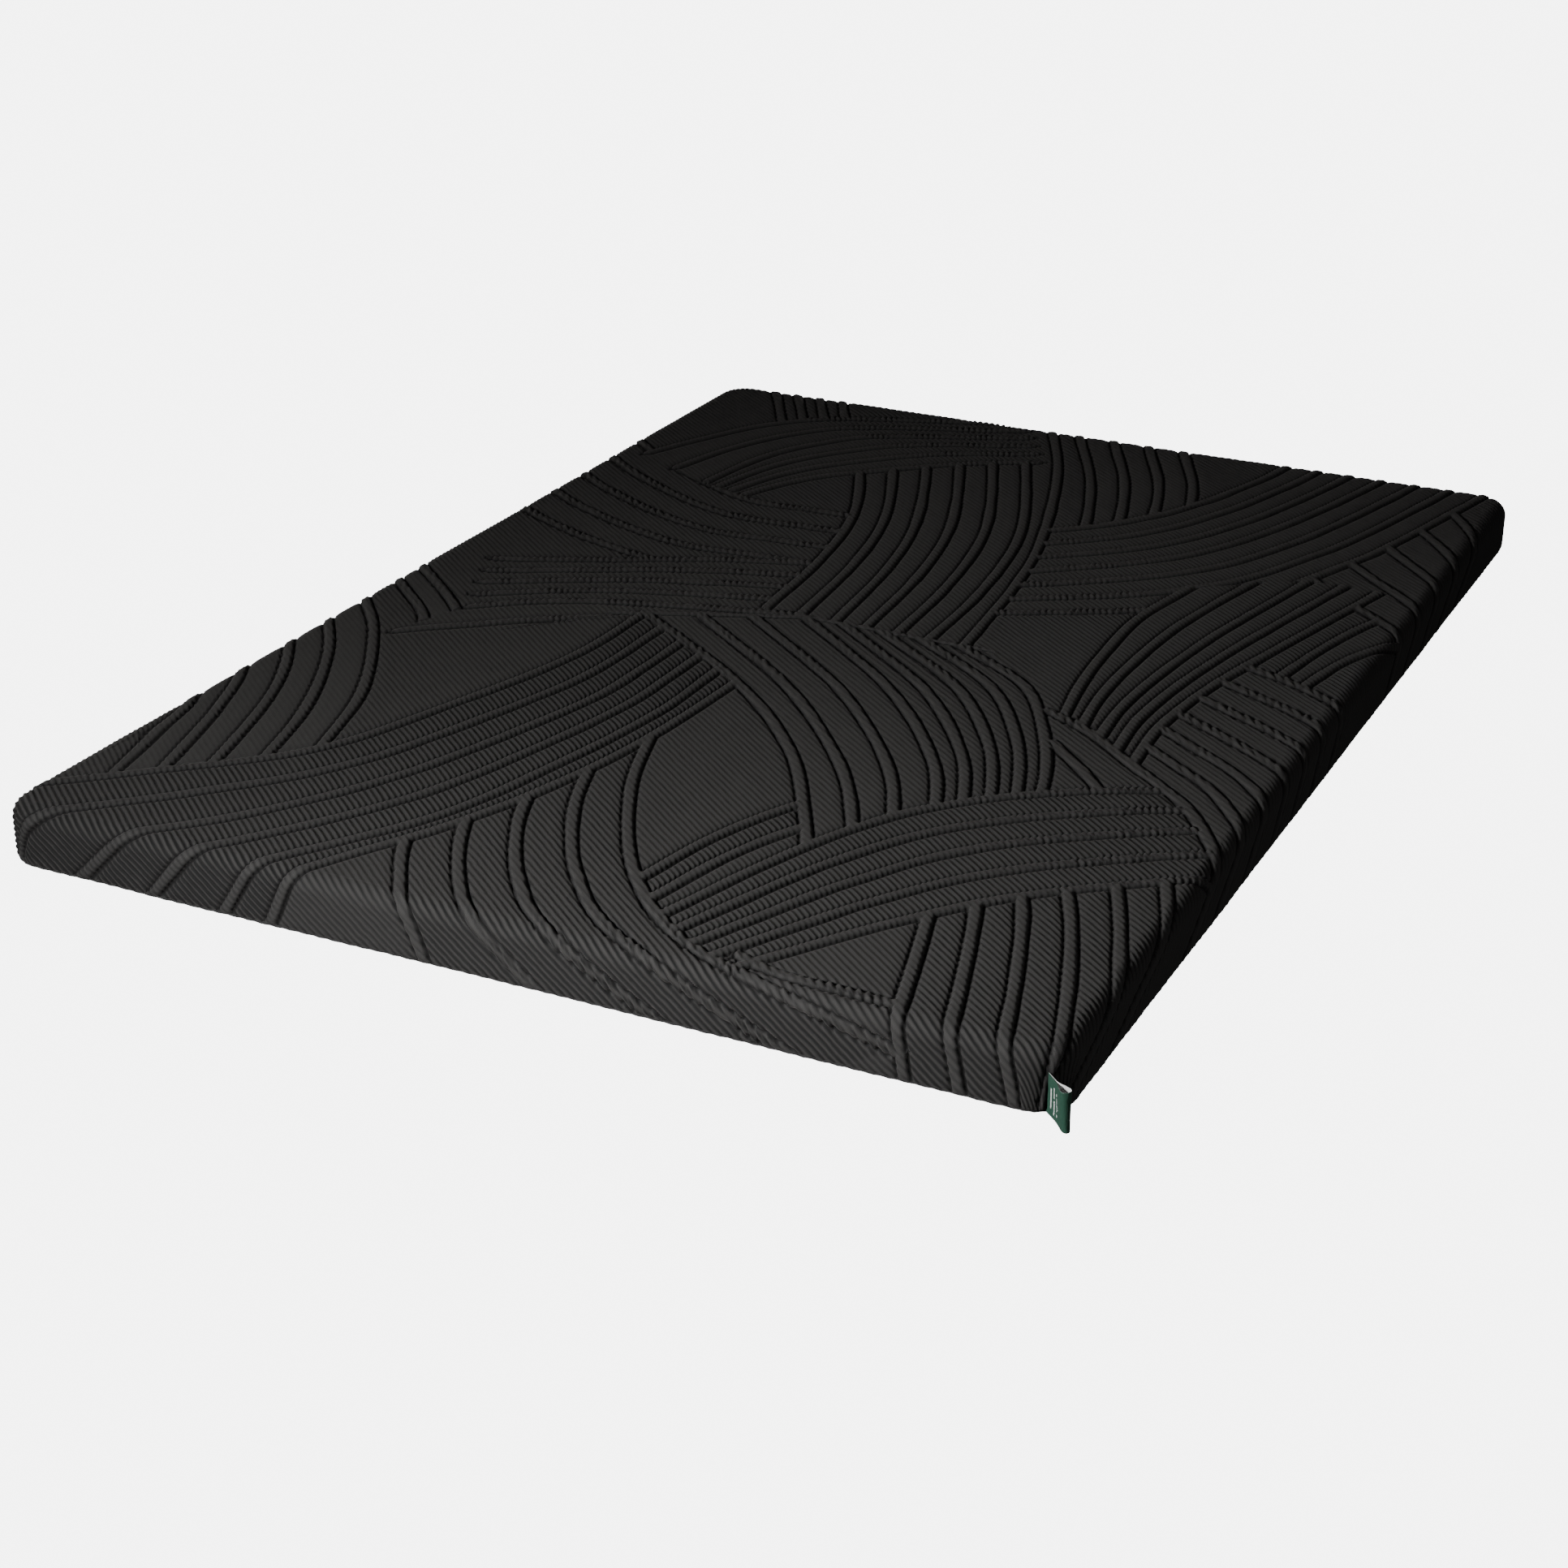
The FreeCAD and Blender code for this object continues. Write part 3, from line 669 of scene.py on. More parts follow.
# ------------------------------------------------------------------ node materials
class Nodes:
    """A short way to write shader nodes: each call adds one node and gives its output."""

    def __init__(self, name):
        self.material = bpy.data.materials.new(name)
        self.material.use_nodes = True
        self.tree = self.material.node_tree
        self.tree.nodes.clear()
        out = self.tree.nodes.new("ShaderNodeOutputMaterial")
        self.shader = self.tree.nodes.new("ShaderNodeBsdfPrincipled")
        self.tree.links.new(self.shader.outputs["BSDF"], out.inputs["Surface"])

    def put(self, socket, value):
        if isinstance(value, bpy.types.NodeSocket):
            self.tree.links.new(value, socket)
        else:
            socket.default_value = value

    def set(self, **values):
        for name, value in values.items():
            self.put(self.shader.inputs[name.replace("_", " ")], value)

    def add(self, kind, output, inputs, **settings):
        """Adds a node with its settings and inputs, and gives one of its outputs."""
        node = self.tree.nodes.new("ShaderNode" + kind)
        for name, value in settings.items():
            setattr(node, name, value)
        for key, value in inputs.items():
            self.put(node.inputs[key], value)
        return node.outputs[output]

    def attribute(self, name, output="Fac"):
        return self.add("Attribute", output, {}, attribute_name=name)

    def cloth(self):
        return self.attribute("cloth", "Vector")

    def place(self):
        return self.add("TexCoord", "Object", {})

    def math(self, kind, a, b=0.0, clamp=False):
        return self.add("Math", 0, {0: a, 1: b}, operation=kind, use_clamp=clamp)

    def times(self, a, b, clamp=False):
        return self.math("MULTIPLY", a, b, clamp)

    def minus(self, a, b):
        return self.math("SUBTRACT", a, b)

    def scale_add(self, value, scale, add):
        return self.add("Math", 0, {0: value, 1: scale, 2: add}, operation="MULTIPLY_ADD")

    def noise(self, where, scale, detail=3.0, rough=0.6):
        return self.add("TexNoise", "Fac", {"Vector": where, "Scale": scale, "Detail": detail,
                                            "Roughness": rough})

    def cells(self, where, scale):
        return self.add("TexVoronoi", "Distance", {"Vector": where, "Scale": scale})

    def wave(self, where, direction_deg, period, push=None):
        """Cosine from 0 to 1 across lines that run in a direction."""
        a = math.radians(direction_deg)
        across = (-math.sin(a) / period, math.cos(a) / period, 0.0)
        turn = self.add("VectorMath", "Value", {0: where, 1: across}, operation="DOT_PRODUCT")
        if push is not None:
            turn = self.math("ADD", turn, push)
        cosine = self.math("COSINE", self.times(turn, 2 * math.pi))
        return self.scale_add(cosine, 0.5, 0.5)

    def step(self, value, at_zero, at_one):
        """0 where value is at_zero and 1 where it is at_one, with an even S between them."""
        rising = at_zero < at_one
        return self.add("MapRange", "Result", {
            "Value": value, "From Min": min(at_zero, at_one), "From Max": max(at_zero, at_one),
            "To Min": 0.0 if rising else 1.0, "To Max": 1.0 if rising else 0.0},
            interpolation_type="SMOOTHSTEP")

    def mix(self, share, a, b):
        return self.add("Mix", 2, {0: share, 6: a, 7: b}, data_type="RGBA")

    def bump(self, height, strength, distance, under=None):
        inputs = {"Strength": strength, "Distance": distance, "Height": height}
        if under is not None:
            inputs["Normal"] = under
        return self.add("Bump", "Normal", inputs)


def grey(value, warm=0.0):
    return (value * (1 + warm), value, value * (1 - warm), 1.0)


KNIT_DARK = grey(0.017, 0.03)
KNIT_LIGHT = grey(0.034, 0.03)
# painted highlight for the raised tubes
KNIT_TUBE_LIT = grey(0.034, 0.03)
# painted shade for the valleys between the diagonal ribs
KNIT_VALLEY_SHADE = grey(0.004, 0.02)
# painted shade: near black for the tucks beside the tubes and the sunk corner seams
KNIT_GROOVE_SHADE = grey(0.0015)
KNIT_WARM = grey(0.022, 0.05)
RIB_SHADE = 0.84


def knit_material():
    n = Nodes("knit_top")
    cloth = n.cloth()
    distance = n.attribute("tube_distance")
    gather = n.attribute("gather")
    strength = n.attribute("rib_strength")
    seam = n.attribute("seam")
    tube = n.step(distance, TUBE_HALF_W, TUBE_HALF_W - 0.0020)
    # The tuck's width also sets how wide the painted shade line along each tube is, wider on the side turned
    # from the front light.
    tuck = n.attribute("tuck")
    past = n.minus(distance, n.scale_add(tuck, 0.45, TUBE_HALF_W))
    past = n.math("DIVIDE", past, tuck)
    groove = n.math("EXPONENT", n.times(n.times(past, past), -1.0))
    groove = n.math("MAXIMUM", groove, seam)
    wobble = n.times(n.noise(cloth, 30.0, 2.0), 0.5)
    rib = n.wave(cloth, TWILL_DEG, TWILL_PERIOD, wobble)
    # Painted shade in the valleys between the diagonal ribs: less on the tubes, and scaled by each fan's rib
    # strength.
    valley = n.math("POWER", n.minus(1.0, rib), 1.6)
    on_tube = n.times(tube, n.minus(0.6, n.math("ABSOLUTE", gather)), True)
    valley = n.times(valley, n.minus(1.0, on_tube))
    valley = n.times(valley, strength)
    wale = n.wave(cloth, TWILL_DEG + 90.0, 0.0021)
    course = n.wave(cloth, TWILL_DEG, 0.0018)
    heather = n.noise(cloth, 700.0, 2.0)
    patches = n.noise(cloth, 5.0, 3.0)
    base = n.mix(heather, KNIT_DARK, KNIT_LIGHT)
    # Painted highlight: the raised tubes are made a little lighter than the flat knit.
    base = n.mix(n.times(tube, 0.30), base, KNIT_TUBE_LIT)
    base = n.mix(n.times(patches, 0.20), base, KNIT_WARM)
    # Painted shade: the rib valleys are darkened towards KNIT_VALLEY_SHADE by RIB_SHADE.
    base = n.mix(n.times(valley, RIB_SHADE, True), base, KNIT_VALLEY_SHADE)
    # Painted shade: the tucks beside the tubes and the sunk corner seams are darkened nearly to black.
    base = n.mix(n.times(groove, 0.95, True), base, KNIT_GROOVE_SHADE)
    n.set(Base_Color=base, Roughness=n.scale_add(heather, 0.12, 0.80), Specular_IOR_Level=0.28,
          Sheen_Weight=0.06, Sheen_Roughness=0.45, Sheen_Tint=(0.62, 0.58, 0.55, 1.0))
    fine = n.bump(n.times(wale, course), 0.45, 0.0005)
    fuzz = n.bump(n.noise(cloth, 1600.0, 2.0), 0.25, 0.0004, fine)
    ribs = n.bump(n.minus(1.0, valley), 0.7, 0.0008, fuzz)
    tucks = n.bump(n.minus(1.0, groove), 0.6, 0.0012, ribs)
    n.set(Normal=tucks)
    return n.material


def cloth_shader(n, colour, rough, sheen):
    """The settings that all the plain cloths share."""
    n.set(Base_Color=colour, Roughness=rough, Specular_IOR_Level=0.25,
          Sheen_Weight=sheen, Sheen_Roughness=0.5)


def woven(n, cloth, direction_deg, pitch, strength):
    """Over and under threads of a plain weave: how high the cloth is, and its bump."""
    warp = n.wave(cloth, direction_deg, pitch)
    weft = n.wave(cloth, direction_deg + 90.0, pitch)
    over = n.math("MAXIMUM", n.times(warp, n.minus(1.0, weft)), n.times(weft, n.minus(1.0, warp)))
    return over, n.bump(over, strength, pitch * 0.3)


def base_material():
    n = Nodes("base_tricot")
    cloth = n.cloth()
    over, weave = woven(n, cloth, 45.0, 0.0015, 0.6)
    fluff = n.noise(cloth, 900.0, 2.0)
    patches = n.noise(cloth, 7.0, 4.0)
    colour = n.mix(over, grey(0.011), grey(0.026))
    colour = n.mix(n.times(patches, 0.35), colour, grey(0.034, 0.03))
    cloth_shader(n, colour, n.scale_add(fluff, 0.12, 0.80), 0.05)
    n.set(Normal=n.bump(fluff, 0.25, 0.0004, weave))
    return n.material


def tape_material(name, value, pitch):
    n = Nodes(name)
    cloth = n.cloth()
    twist = n.wave(cloth, 62.0, pitch)
    cord = n.wave(cloth, 90.0, pitch * 0.8)
    fluff = n.noise(cloth, 1500.0, 2.0)
    colour = n.mix(twist, grey(value * 0.5), grey(value * 1.25))
    colour = n.mix(n.times(fluff, 0.3), colour, grey(value * 1.8))
    cloth_shader(n, colour, n.scale_add(fluff, 0.15, 0.72), 0.04)
    n.set(Normal=n.bump(n.times(twist, cord), 0.6, pitch * 0.3))
    return n.material


def thread_material(name, colour):
    n = Nodes(name)
    place = n.place()
    ply = n.wave(place, 35.0, 0.00045)
    fluff = n.noise(place, 2500.0, 2.0)
    dark = (*(0.55 * c for c in colour[:3]), 1.0)
    cloth_shader(n, n.mix(ply, dark, colour), n.scale_add(fluff, 0.2, 0.55), 0.05)
    n.set(Normal=n.bump(ply, 0.5, 0.0002))
    return n.material


def plastic_material():
    n = Nodes("zip_nylon")
    place = n.place()
    dust = n.noise(place, 240.0, 4.0)
    fine = n.noise(place, 1800.0, 2.0)
    n.set(Base_Color=n.mix(dust, grey(0.008), grey(0.022)), Roughness=n.scale_add(dust, 0.22, 0.26),
          Normal=n.bump(fine, 0.15, 0.0002))
    return n.material


def metal_material():
    n = Nodes("zip_enamel")
    place = n.place()
    scratch = n.step(n.noise(place, 420.0, 5.0, 0.7), 0.60, 0.74)
    cloud = n.noise(place, 90.0, 3.0)
    colour = n.mix(cloud, grey(0.010), grey(0.022))
    colour = n.mix(n.times(scratch, 0.5), colour, grey(0.16))
    n.set(Base_Color=colour, Roughness=n.scale_add(cloud, 0.20, 0.24), Metallic=n.times(scratch, 0.7),
          Normal=n.bump(n.noise(place, 900.0, 3.0), 0.12, 0.0002))
    return n.material


LABEL_GREEN = (0.020, 0.066, 0.042, 1.0)
LABEL_SHADE = (0.012, 0.042, 0.027, 1.0)
LABEL_WHITE = (0.62, 0.64, 0.62, 1.0)


def label_material():
    n = Nodes("label_damask")
    cloth = n.cloth()
    side = n.attribute("side")
    outer = n.step(side, 0.35, 0.65)
    satin = n.wave(cloth, 28.0, 0.0009)
    weft = n.wave(cloth, 90.0, 0.00055)
    patches = n.noise(cloth, 60.0, 3.0)
    green = n.mix(n.times(satin, weft), LABEL_SHADE, LABEL_GREEN)
    white = n.mix(patches, grey(0.50), LABEL_WHITE)
    cloth_shader(n, n.mix(outer, white, green), n.scale_add(patches, 0.18, 0.45), 0.05)
    n.set(Normal=n.bump(n.times(satin, weft), 0.35, 0.0003))
    return n.material


def satin_material():
    n = Nodes("care_satin_weave")
    cloth = n.cloth()
    float_thread = n.wave(cloth, 12.0, 0.0008)
    patches = n.noise(cloth, 80.0, 3.0)
    colour = n.mix(float_thread, grey(0.62), grey(0.80))
    cloth_shader(n, colour, n.scale_add(patches, 0.2, 0.34), 0.04)
    n.set(Normal=n.bump(float_thread, 0.3, 0.0002))
    return n.material


def sock_material():
    n = Nodes("sock_stockinette")
    cloth = n.cloth()
    wale = n.wave(cloth, 90.0, 0.0020)
    leg = n.math("ABSOLUTE", n.scale_add(wale, 2.0, -1.0))
    course = n.wave(cloth, 0.0, 0.0015, leg)
    loops = n.times(wale, course)
    patches = n.noise(cloth, 12.0, 3.0)
    colour = n.mix(loops, grey(0.52, 0.01), grey(0.78, 0.01))
    colour = n.mix(n.times(patches, 0.25), colour, grey(0.60, 0.04))
    cloth_shader(n, colour, n.scale_add(patches, 0.1, 0.80), 0.08)
    n.set(Normal=n.bump(loops, 0.6, 0.0006))
    return n.material


def foam_material(name, colour):
    n = Nodes(name)
    cloth = n.cloth()
    big = n.cells(cloth, 420.0)
    small = n.cells(cloth, 1100.0)
    pores = n.times(big, n.scale_add(small, 0.6, 0.5))
    age = n.noise(cloth, 6.0, 4.0)
    dark = (colour[0] * 0.45, colour[1] * 0.45, colour[2] * 0.42, 1.0)
    warm = (colour[0] * 0.95, colour[1] * 0.86, colour[2] * 0.66, 1.0)
    skin = n.mix(n.step(pores, 0.05, 0.35), dark, colour)
    skin = n.mix(n.times(age, 0.4), skin, warm)
    n.set(Base_Color=skin, Roughness=n.scale_add(age, 0.1, 0.86), Specular_IOR_Level=0.15,
          Normal=n.bump(pores, 0.8, 0.0008))
    return n.material


# ------------------------------------------------------------------ the knitted cap
def open_edges(quads, count):
    """The edges that only one face has, in that face's direction."""
    edges = np.stack([quads, np.roll(quads, -1, axis=1)], -1).reshape(-1, 2).astype(np.int64)
    ahead = edges[:, 0] * count + edges[:, 1]
    back = edges[:, 1] * count + edges[:, 0]
    return edges[~np.isin(ahead, back)]


# The roll of a cloth's edge in four steps, each as shares of its depth: outwards, and down into the cloth.
EDGE_ROLL = [(0.20, 0.12), (0.30, 0.4), (0.20, 0.75), (-0.10, 1.0)]


def turn_in(verts, normals, quads, depth):
    """Rolls a cloth's open edges inwards, to the depth given for each vertex. Its third result is the
    vertex that each one came from."""
    count = len(verts)
    a, b = open_edges(quads, count).T
    outwards = np.cross(unit(verts[b] - verts[a]), normals[a])
    past = np.zeros_like(verts)
    np.add.at(past, a, outwards)
    np.add.at(past, b, outwards)
    past[a] = unit(past[a])
    place = np.full(count, -1)
    place[a] = np.arange(len(a))
    sources, rings, faces = [np.arange(count)], [verts], [quads]
    near_a, near_b = a, b
    for k, (out, deep) in enumerate(EDGE_ROLL):
        reach, drop = (out * depth[a])[:, None], (deep * depth[a])[:, None]
        rings.append(verts[a] + past[a] * reach - normals[a] * drop)
        sources.append(a)
        far_a = count + k * len(a) + place[a]
        far_b = count + k * len(a) + place[b]
        faces.append(np.column_stack([near_b, near_a, far_a, far_b]))
        near_a, near_b = far_a, far_b
    return np.concatenate(rings), np.concatenate(faces), np.concatenate(sources)


def tightened(distance, reach):
    """The share of the relief that is left at a distance from an edge where the knit is drawn flat."""
    return TIGHT_SHARE + (1 - TIGHT_SHARE) * smooth(distance, 0.0, reach)


def build_cap():
    cap = Slab(cover_lo, cover_hi, CORNER_R, TOP_EDGE_R, 0.0, CAP_STEP, closed=False)
    height, distance, tuck, gather, strength = relief(cap.flat)
    to_rim = cap.stations[-1][4] - cap.down
    height = np.where(cap.down > 0, height * tightened(to_rim, RIM_TIGHT), height)
    sunk = bell(cap.seam_distance(), SEAM_HALF_W) * smooth(cap.down, SEAM_FROM, SEAM_FULL)
    height -= SEAM_DEPTH * sunk
    height -= RIM_TUCK * bell(to_rim, RIM_TUCK_W)
    swell = 0.0008 * noise(cap.flat, 0.19, 3) + 0.0005 * noise(cap.flat, 0.07, 4)
    height += swell * (1 - 0.5 * (cap.down > 0))
    x, y, z = cap.verts.T
    beside = np.maximum(np.abs(x) - SLOT_HALF_LEN, 0.0)
    above = np.maximum(z - SLOT_TOP_Z, 0.0)
    from_slot = np.where(y > HALF_Y - WALL_TOL, np.hypot(beside, above), 1.0)
    height *= tightened(from_slot, SLOT_TIGHT)
    verts = cap.verts + cap.normals * height[:, None]
    x, y, z = cap.verts[cap.quads].mean(1).T
    hole = (y > HALF_Y - WALL_TOL) & (np.abs(x) < SLOT_HALF_LEN) & (z < SLOT_TOP_Z)
    depth = np.where(from_slot < SLOT_EDGE, SLOT_TURN, RIM_TURN)
    rolled, quads, source = turn_in(verts, cap.normals, cap.quads[~hole], depth)
    used, quads = np.unique(quads, return_inverse=True)
    source = source[used]
    obj = mesh_object("knit_cap", rolled[used], quads.reshape(-1, 4))
    keep_attribute(obj, "cloth", np.column_stack([cap.flat, np.zeros(len(cap.flat))])[source])
    for name, values in (("tube_distance", distance), ("tuck", tuck), ("gather", gather),
                         ("rib_strength", strength), ("seam", sunk)):
        keep_attribute(obj, name, values[source])
    dress(obj, knit_material(), "cover_top")
    build_topstitch(cap, verts)


def build_topstitch(cap, verts):
    """The row of stitches above the zip's opening, on the cap's displaced far side."""
    level = SLOT_TOP_Z + TOPSTITCH_UP
    row = min(range(len(cap.stations)), key=lambda n: abs(cap.stations[n][1] - level))
    ring = verts[cap.skirt_start + row * cap.count:cap.skirt_start + (row + 1) * cap.count]
    ring = ring[(ring[:, 1] > HALF_Y - 0.01) & (np.abs(ring[:, 0]) < HALF_X - CORNER_R)]
    ring = ring[np.argsort(ring[:, 0])]
    reach = SLOT_HALF_LEN + TOPSTITCH_UP
    at = np.linspace(-reach, reach, int(2 * reach / STITCH_PITCH) + 1)
    centres = row_of(at, np.interp(at, ring[:, 0], ring[:, 1]), ring[:, 2].mean())
    thread = stitches("slot_topstitch", centres, RIGHT, BACK, STITCH_LEN, STITCH_R)
    dress(thread, thread_material("thread_black", grey(0.02)))


# ------------------------------------------------------------------ the base cloth
def build_base():
    """The plain underside of the cover, with its low rounded wall up to the seam."""
    lo = (base_lo.x, base_lo.y, -base_hi.z)
    hi = (base_hi.x, base_hi.y, -base_lo.z)
    slab = Slab(lo, hi, CORNER_R, BASE_EDGE_R, 0.0, BASE_STEP, closed=False)
    mirror = np.array([1.0, 1.0, -1.0])
    to_rim = slab.stations[-1][4] - slab.down
    slack = 0.0006 * (1.05 + noise(slab.flat, 0.11, 31)) + 0.0003 * (1 + noise(slab.flat, 0.028, 32))
    drawn = smooth(0.012 - np.abs(to_rim - BASE_EDGE_R), 0.0, 0.012)
    slack += 0.0005 * drawn * (1 + np.cos(2 * math.pi * (slab.flat[:, 0] + slab.flat[:, 1]) / 0.0085))
    slack += RIM_TUCK * bell(to_rim, RIM_TUCK_W)
    normals = slab.normals * mirror
    verts = slab.verts * mirror - normals * slack[:, None]
    quads = slab.quads[:, ::-1]
    opening = (verts[:, 1] > 0) & (np.abs(verts[:, 0]) < SLOT_HALF_LEN)
    depth = np.where(opening, SLOT_TURN, RIM_TURN)
    verts, quads, source = turn_in(verts, normals, quads, depth)
    obj = mesh_object("base_panel", verts, quads)
    keep_attribute(obj, "cloth", np.column_stack([slab.flat, np.zeros(len(slab.flat))])[source])
    dress(obj, base_material(), "cover_base")


# ------------------------------------------------------------------ bindings inside the seams
def rounded_path(half_x, half_y, r, start, step):
    """Points and outward directions round a rounded rectangle, anticlockwise from its far side."""
    pieces = [np.array([[start, half_y], [-half_x + r, half_y]])]
    for cx, cy, a0 in ((-1, 1, 90), (-1, -1, 180), (1, -1, 270), (1, 1, 360)):
        a = np.radians(np.linspace(a0, a0 + 90, 13))
        middle = np.array([cx * (half_x - r), cy * (half_y - r)])
        pieces.append(middle + r * np.column_stack([np.cos(a), np.sin(a)]))
    pieces.append(np.array([[-start, half_y]]))
    corners = np.concatenate(pieces)
    path = even_points(corners, int(distances(corners)[-1] / step))
    ahead = unit(np.gradient(path, axis=0))
    return path, np.column_stack([ahead[:, 1], -ahead[:, 0]])


def upright_grid(path, out, z0, z1, rows):
    """A grid of places and normals that stands a path up from z0 to z1."""
    z = np.linspace(z0, z1, rows)
    flat = np.column_stack([path, np.zeros(len(path))])
    places = flat[None] + z[:, None, None] * UP
    outward = np.tile(np.column_stack([out, np.zeros(len(out))]), (rows, 1, 1))
    return places, outward


def build_bindings():
    tape = tape_material("seam_tape_weave", 0.024, 0.0016)
    lo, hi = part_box("base_seam_binding")
    r = CORNER_R - BINDING_INSET
    path, out = rounded_path(HALF_X - BINDING_INSET, HALF_Y - BINDING_INSET, r,
                             -SLOT_HALF_LEN - BINDING_GAP, 0.012)
    path = path + out * (TAPE_WAVE * noise(path, 0.05, 41))[:, None]
    obj = shell("base_seam_tape", [upright_grid(path, out, lo.z, lo.z + BINDING_W, 4)], BINDING_T)
    dress(obj, tape, "base_seam_binding")
    for node in sorted(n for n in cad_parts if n.startswith("corner_seam_binding")):
        lo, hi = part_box(node)
        side_x = 1 if hi.x > 0 else -1
        side_y = 1 if hi.y > 0 else -1
        spread = BINDING_W / 2 / r
        a = math.radians(SEAM_DEG) + np.linspace(-spread, spread, 5)
        out = np.column_stack([side_x * np.cos(a), side_y * np.sin(a)])
        centre = np.array([side_x * (HALF_X - CORNER_R), side_y * (HALF_Y - CORNER_R)])
        places, outward = upright_grid(centre + r * out, out, lo.z, hi.z, 12)
        wave = TAPE_WAVE * noise(places[..., 2:].repeat(2, -1).reshape(-1, 2), 0.01, 43)
        places = places + outward * wave.reshape(places.shape[:2])[..., None]
        obj = shell(node.replace("binding", "tape"), [(places, outward)], BINDING_T)
        dress(obj, tape, node)


# ------------------------------------------------------------------ the zip
def facing_back(x, z, lo, hi, wave):
    """A grid of places and normals for a cloth in the middle of a node's box, that faces the far side."""
    return np.stack([x, (lo.y + hi.y) / 2 + wave, z], -1), np.tile(BACK, x.shape + (1,))


def build_zip():
    weave = tape_material("zip_tape_weave", 0.020, 0.0011)
    for node in ("zip_tape_upper", "zip_tape_lower"):
        lo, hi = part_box(node)
        x, z = np.meshgrid(np.linspace(lo.x, hi.x, 310), np.linspace(lo.z, hi.z, 10))
        wave = RIBBON_WAVE * noise(np.column_stack([x.ravel(), z.ravel()]), 0.03, 51).reshape(x.shape)
        obj = shell(node.replace("tape", "ribbon"), [facing_back(x, z, lo, hi, wave)], (hi.y - lo.y) * 0.8)
        dress(obj, weave, node)
    nylon = plastic_material()
    black = thread_material("zip_thread", grey(0.014))
    points, sides = ((16, 8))
    for node, up, shift in (("zip_coil_upper", 1, 0.0), ("zip_coil_lower", -1, 0.5)):
        lo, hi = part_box(node)
        turns = int((hi.x - lo.x) / COIL_PITCH)
        a = np.linspace(0, 2 * math.pi * turns, turns * points + 1)
        reach_y = (hi.y - lo.y) / 2 - COIL_WIRE_R
        half_z = (hi.z - lo.z) / 2
        wave = np.sin(a + 2 * math.pi * shift)
        z = (lo.z + hi.z) / 2 - up * (wave * (half_z - COIL_WIRE_R) + np.maximum(wave, 0) ** 3 * COIL_REACH)
        path = np.column_stack([np.linspace(lo.x, hi.x, len(a)),
                                (lo.y + hi.y) / 2 + reach_y * np.cos(a + 2 * math.pi * shift), z])
        obj = tube(node.replace("coil", "teeth"), path, RIGHT, COIL_WIRE_R, sides)
        dress(obj, nylon, node)
        at = np.arange(lo.x + COIL_PITCH, hi.x - COIL_PITCH, COIL_PITCH)
        centres = row_of(at, hi.y - 0.00005, (lo.z + hi.z) / 2 + up * COIL_THREAD_UP)
        row = stitches(node.replace("coil", "thread"), centres, RIGHT, BACK,
                       COIL_PITCH * 1.04, COIL_THREAD_R)
        dress(row, black)
    closed_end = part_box("zip_top_stops")[1].x
    open_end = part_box("zip_bottom_stop")[0].x
    mesh_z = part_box("zip_coil_upper")[0].z
    tape_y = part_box("zip_tape_upper")[1].y
    at = np.concatenate([np.arange(-SLOT_HALF_LEN + TACK_PITCH / 2, open_end, TACK_PITCH),
                         np.arange(SLOT_HALF_LEN - TACK_PITCH / 2, closed_end, -TACK_PITCH)])
    centres = row_of(at, tape_y + STITCH_R, mesh_z)
    tacks = stitches("zip_end_tacks", centres, UP, BACK, TACK_LEN, TACK_PITCH * 0.56)
    dress(tacks, black)
    metal = metal_material()
    for node in ("zip_top_stops", "zip_bottom_stop", "zip_slider", "zip_puller"):
        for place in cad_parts[node].material_slots:
            place.material = metal


# ------------------------------------------------------------------ the labels
def label_path():
    """The label's fold seen from above as evenly spaced points along and across it, and its length."""
    fold = np.array(LABEL_FOLD) * MM
    weights, _ = spline_weights(np.linspace(0, 1, 600), len(fold))
    fine = weights @ fold
    return even_points(fine, LABEL_STEPS), distances(fine)[-1]


def label_grid(first, last, z0, z1, cols, rows, lift):
    """A grid on the label's outer face between two lengths along it and two heights, lifted off it."""
    path, length = label_path()
    lo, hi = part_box("side_label")
    at = np.linspace(first, last, cols) / length * (len(path) - 1)
    step = np.arange(len(path))
    u = np.interp(at, step, path[:, 0])
    w = np.interp(at, step, path[:, 1])
    slope = np.gradient(path, axis=0)
    du, dw = np.interp(at, step, slope[:, 0]), np.interp(at, step, slope[:, 1])
    size = np.hypot(du, dw)
    out_u, out_w = dw / size, -du / size
    z = np.linspace(z0, z1, rows)
    high = ((z - lo.z) / (hi.z - lo.z))[:, None]
    u = u * (1.03 - 0.03 * high) - LABEL_ROOT_IN
    w = w * np.where(w < 0, 0.55 + 0.45 * high, 0.85 + 0.15 * high)
    w = w + 0.0004 * np.sin(3.0 * high + u / 0.016)
    a, b = math.radians(LABEL_ROOT_DEG), math.radians(LABEL_DEG)
    root_x = HALF_X - CORNER_R + CORNER_R * math.cos(a)
    root_y = -(HALF_Y - CORNER_R) + CORNER_R * math.sin(a)
    x = root_x + u * math.cos(b) - w * math.sin(b)
    y = root_y + u * math.sin(b) + w * math.cos(b)
    outward = np.stack([out_u * math.cos(b) - out_w * math.sin(b),
                        out_u * math.sin(b) + out_w * math.cos(b), np.zeros(cols)], -1)
    outward = np.tile(outward, (rows, 1, 1))
    return np.stack([x, y, np.repeat(z[:, None], cols, 1)], -1) + outward * lift, outward


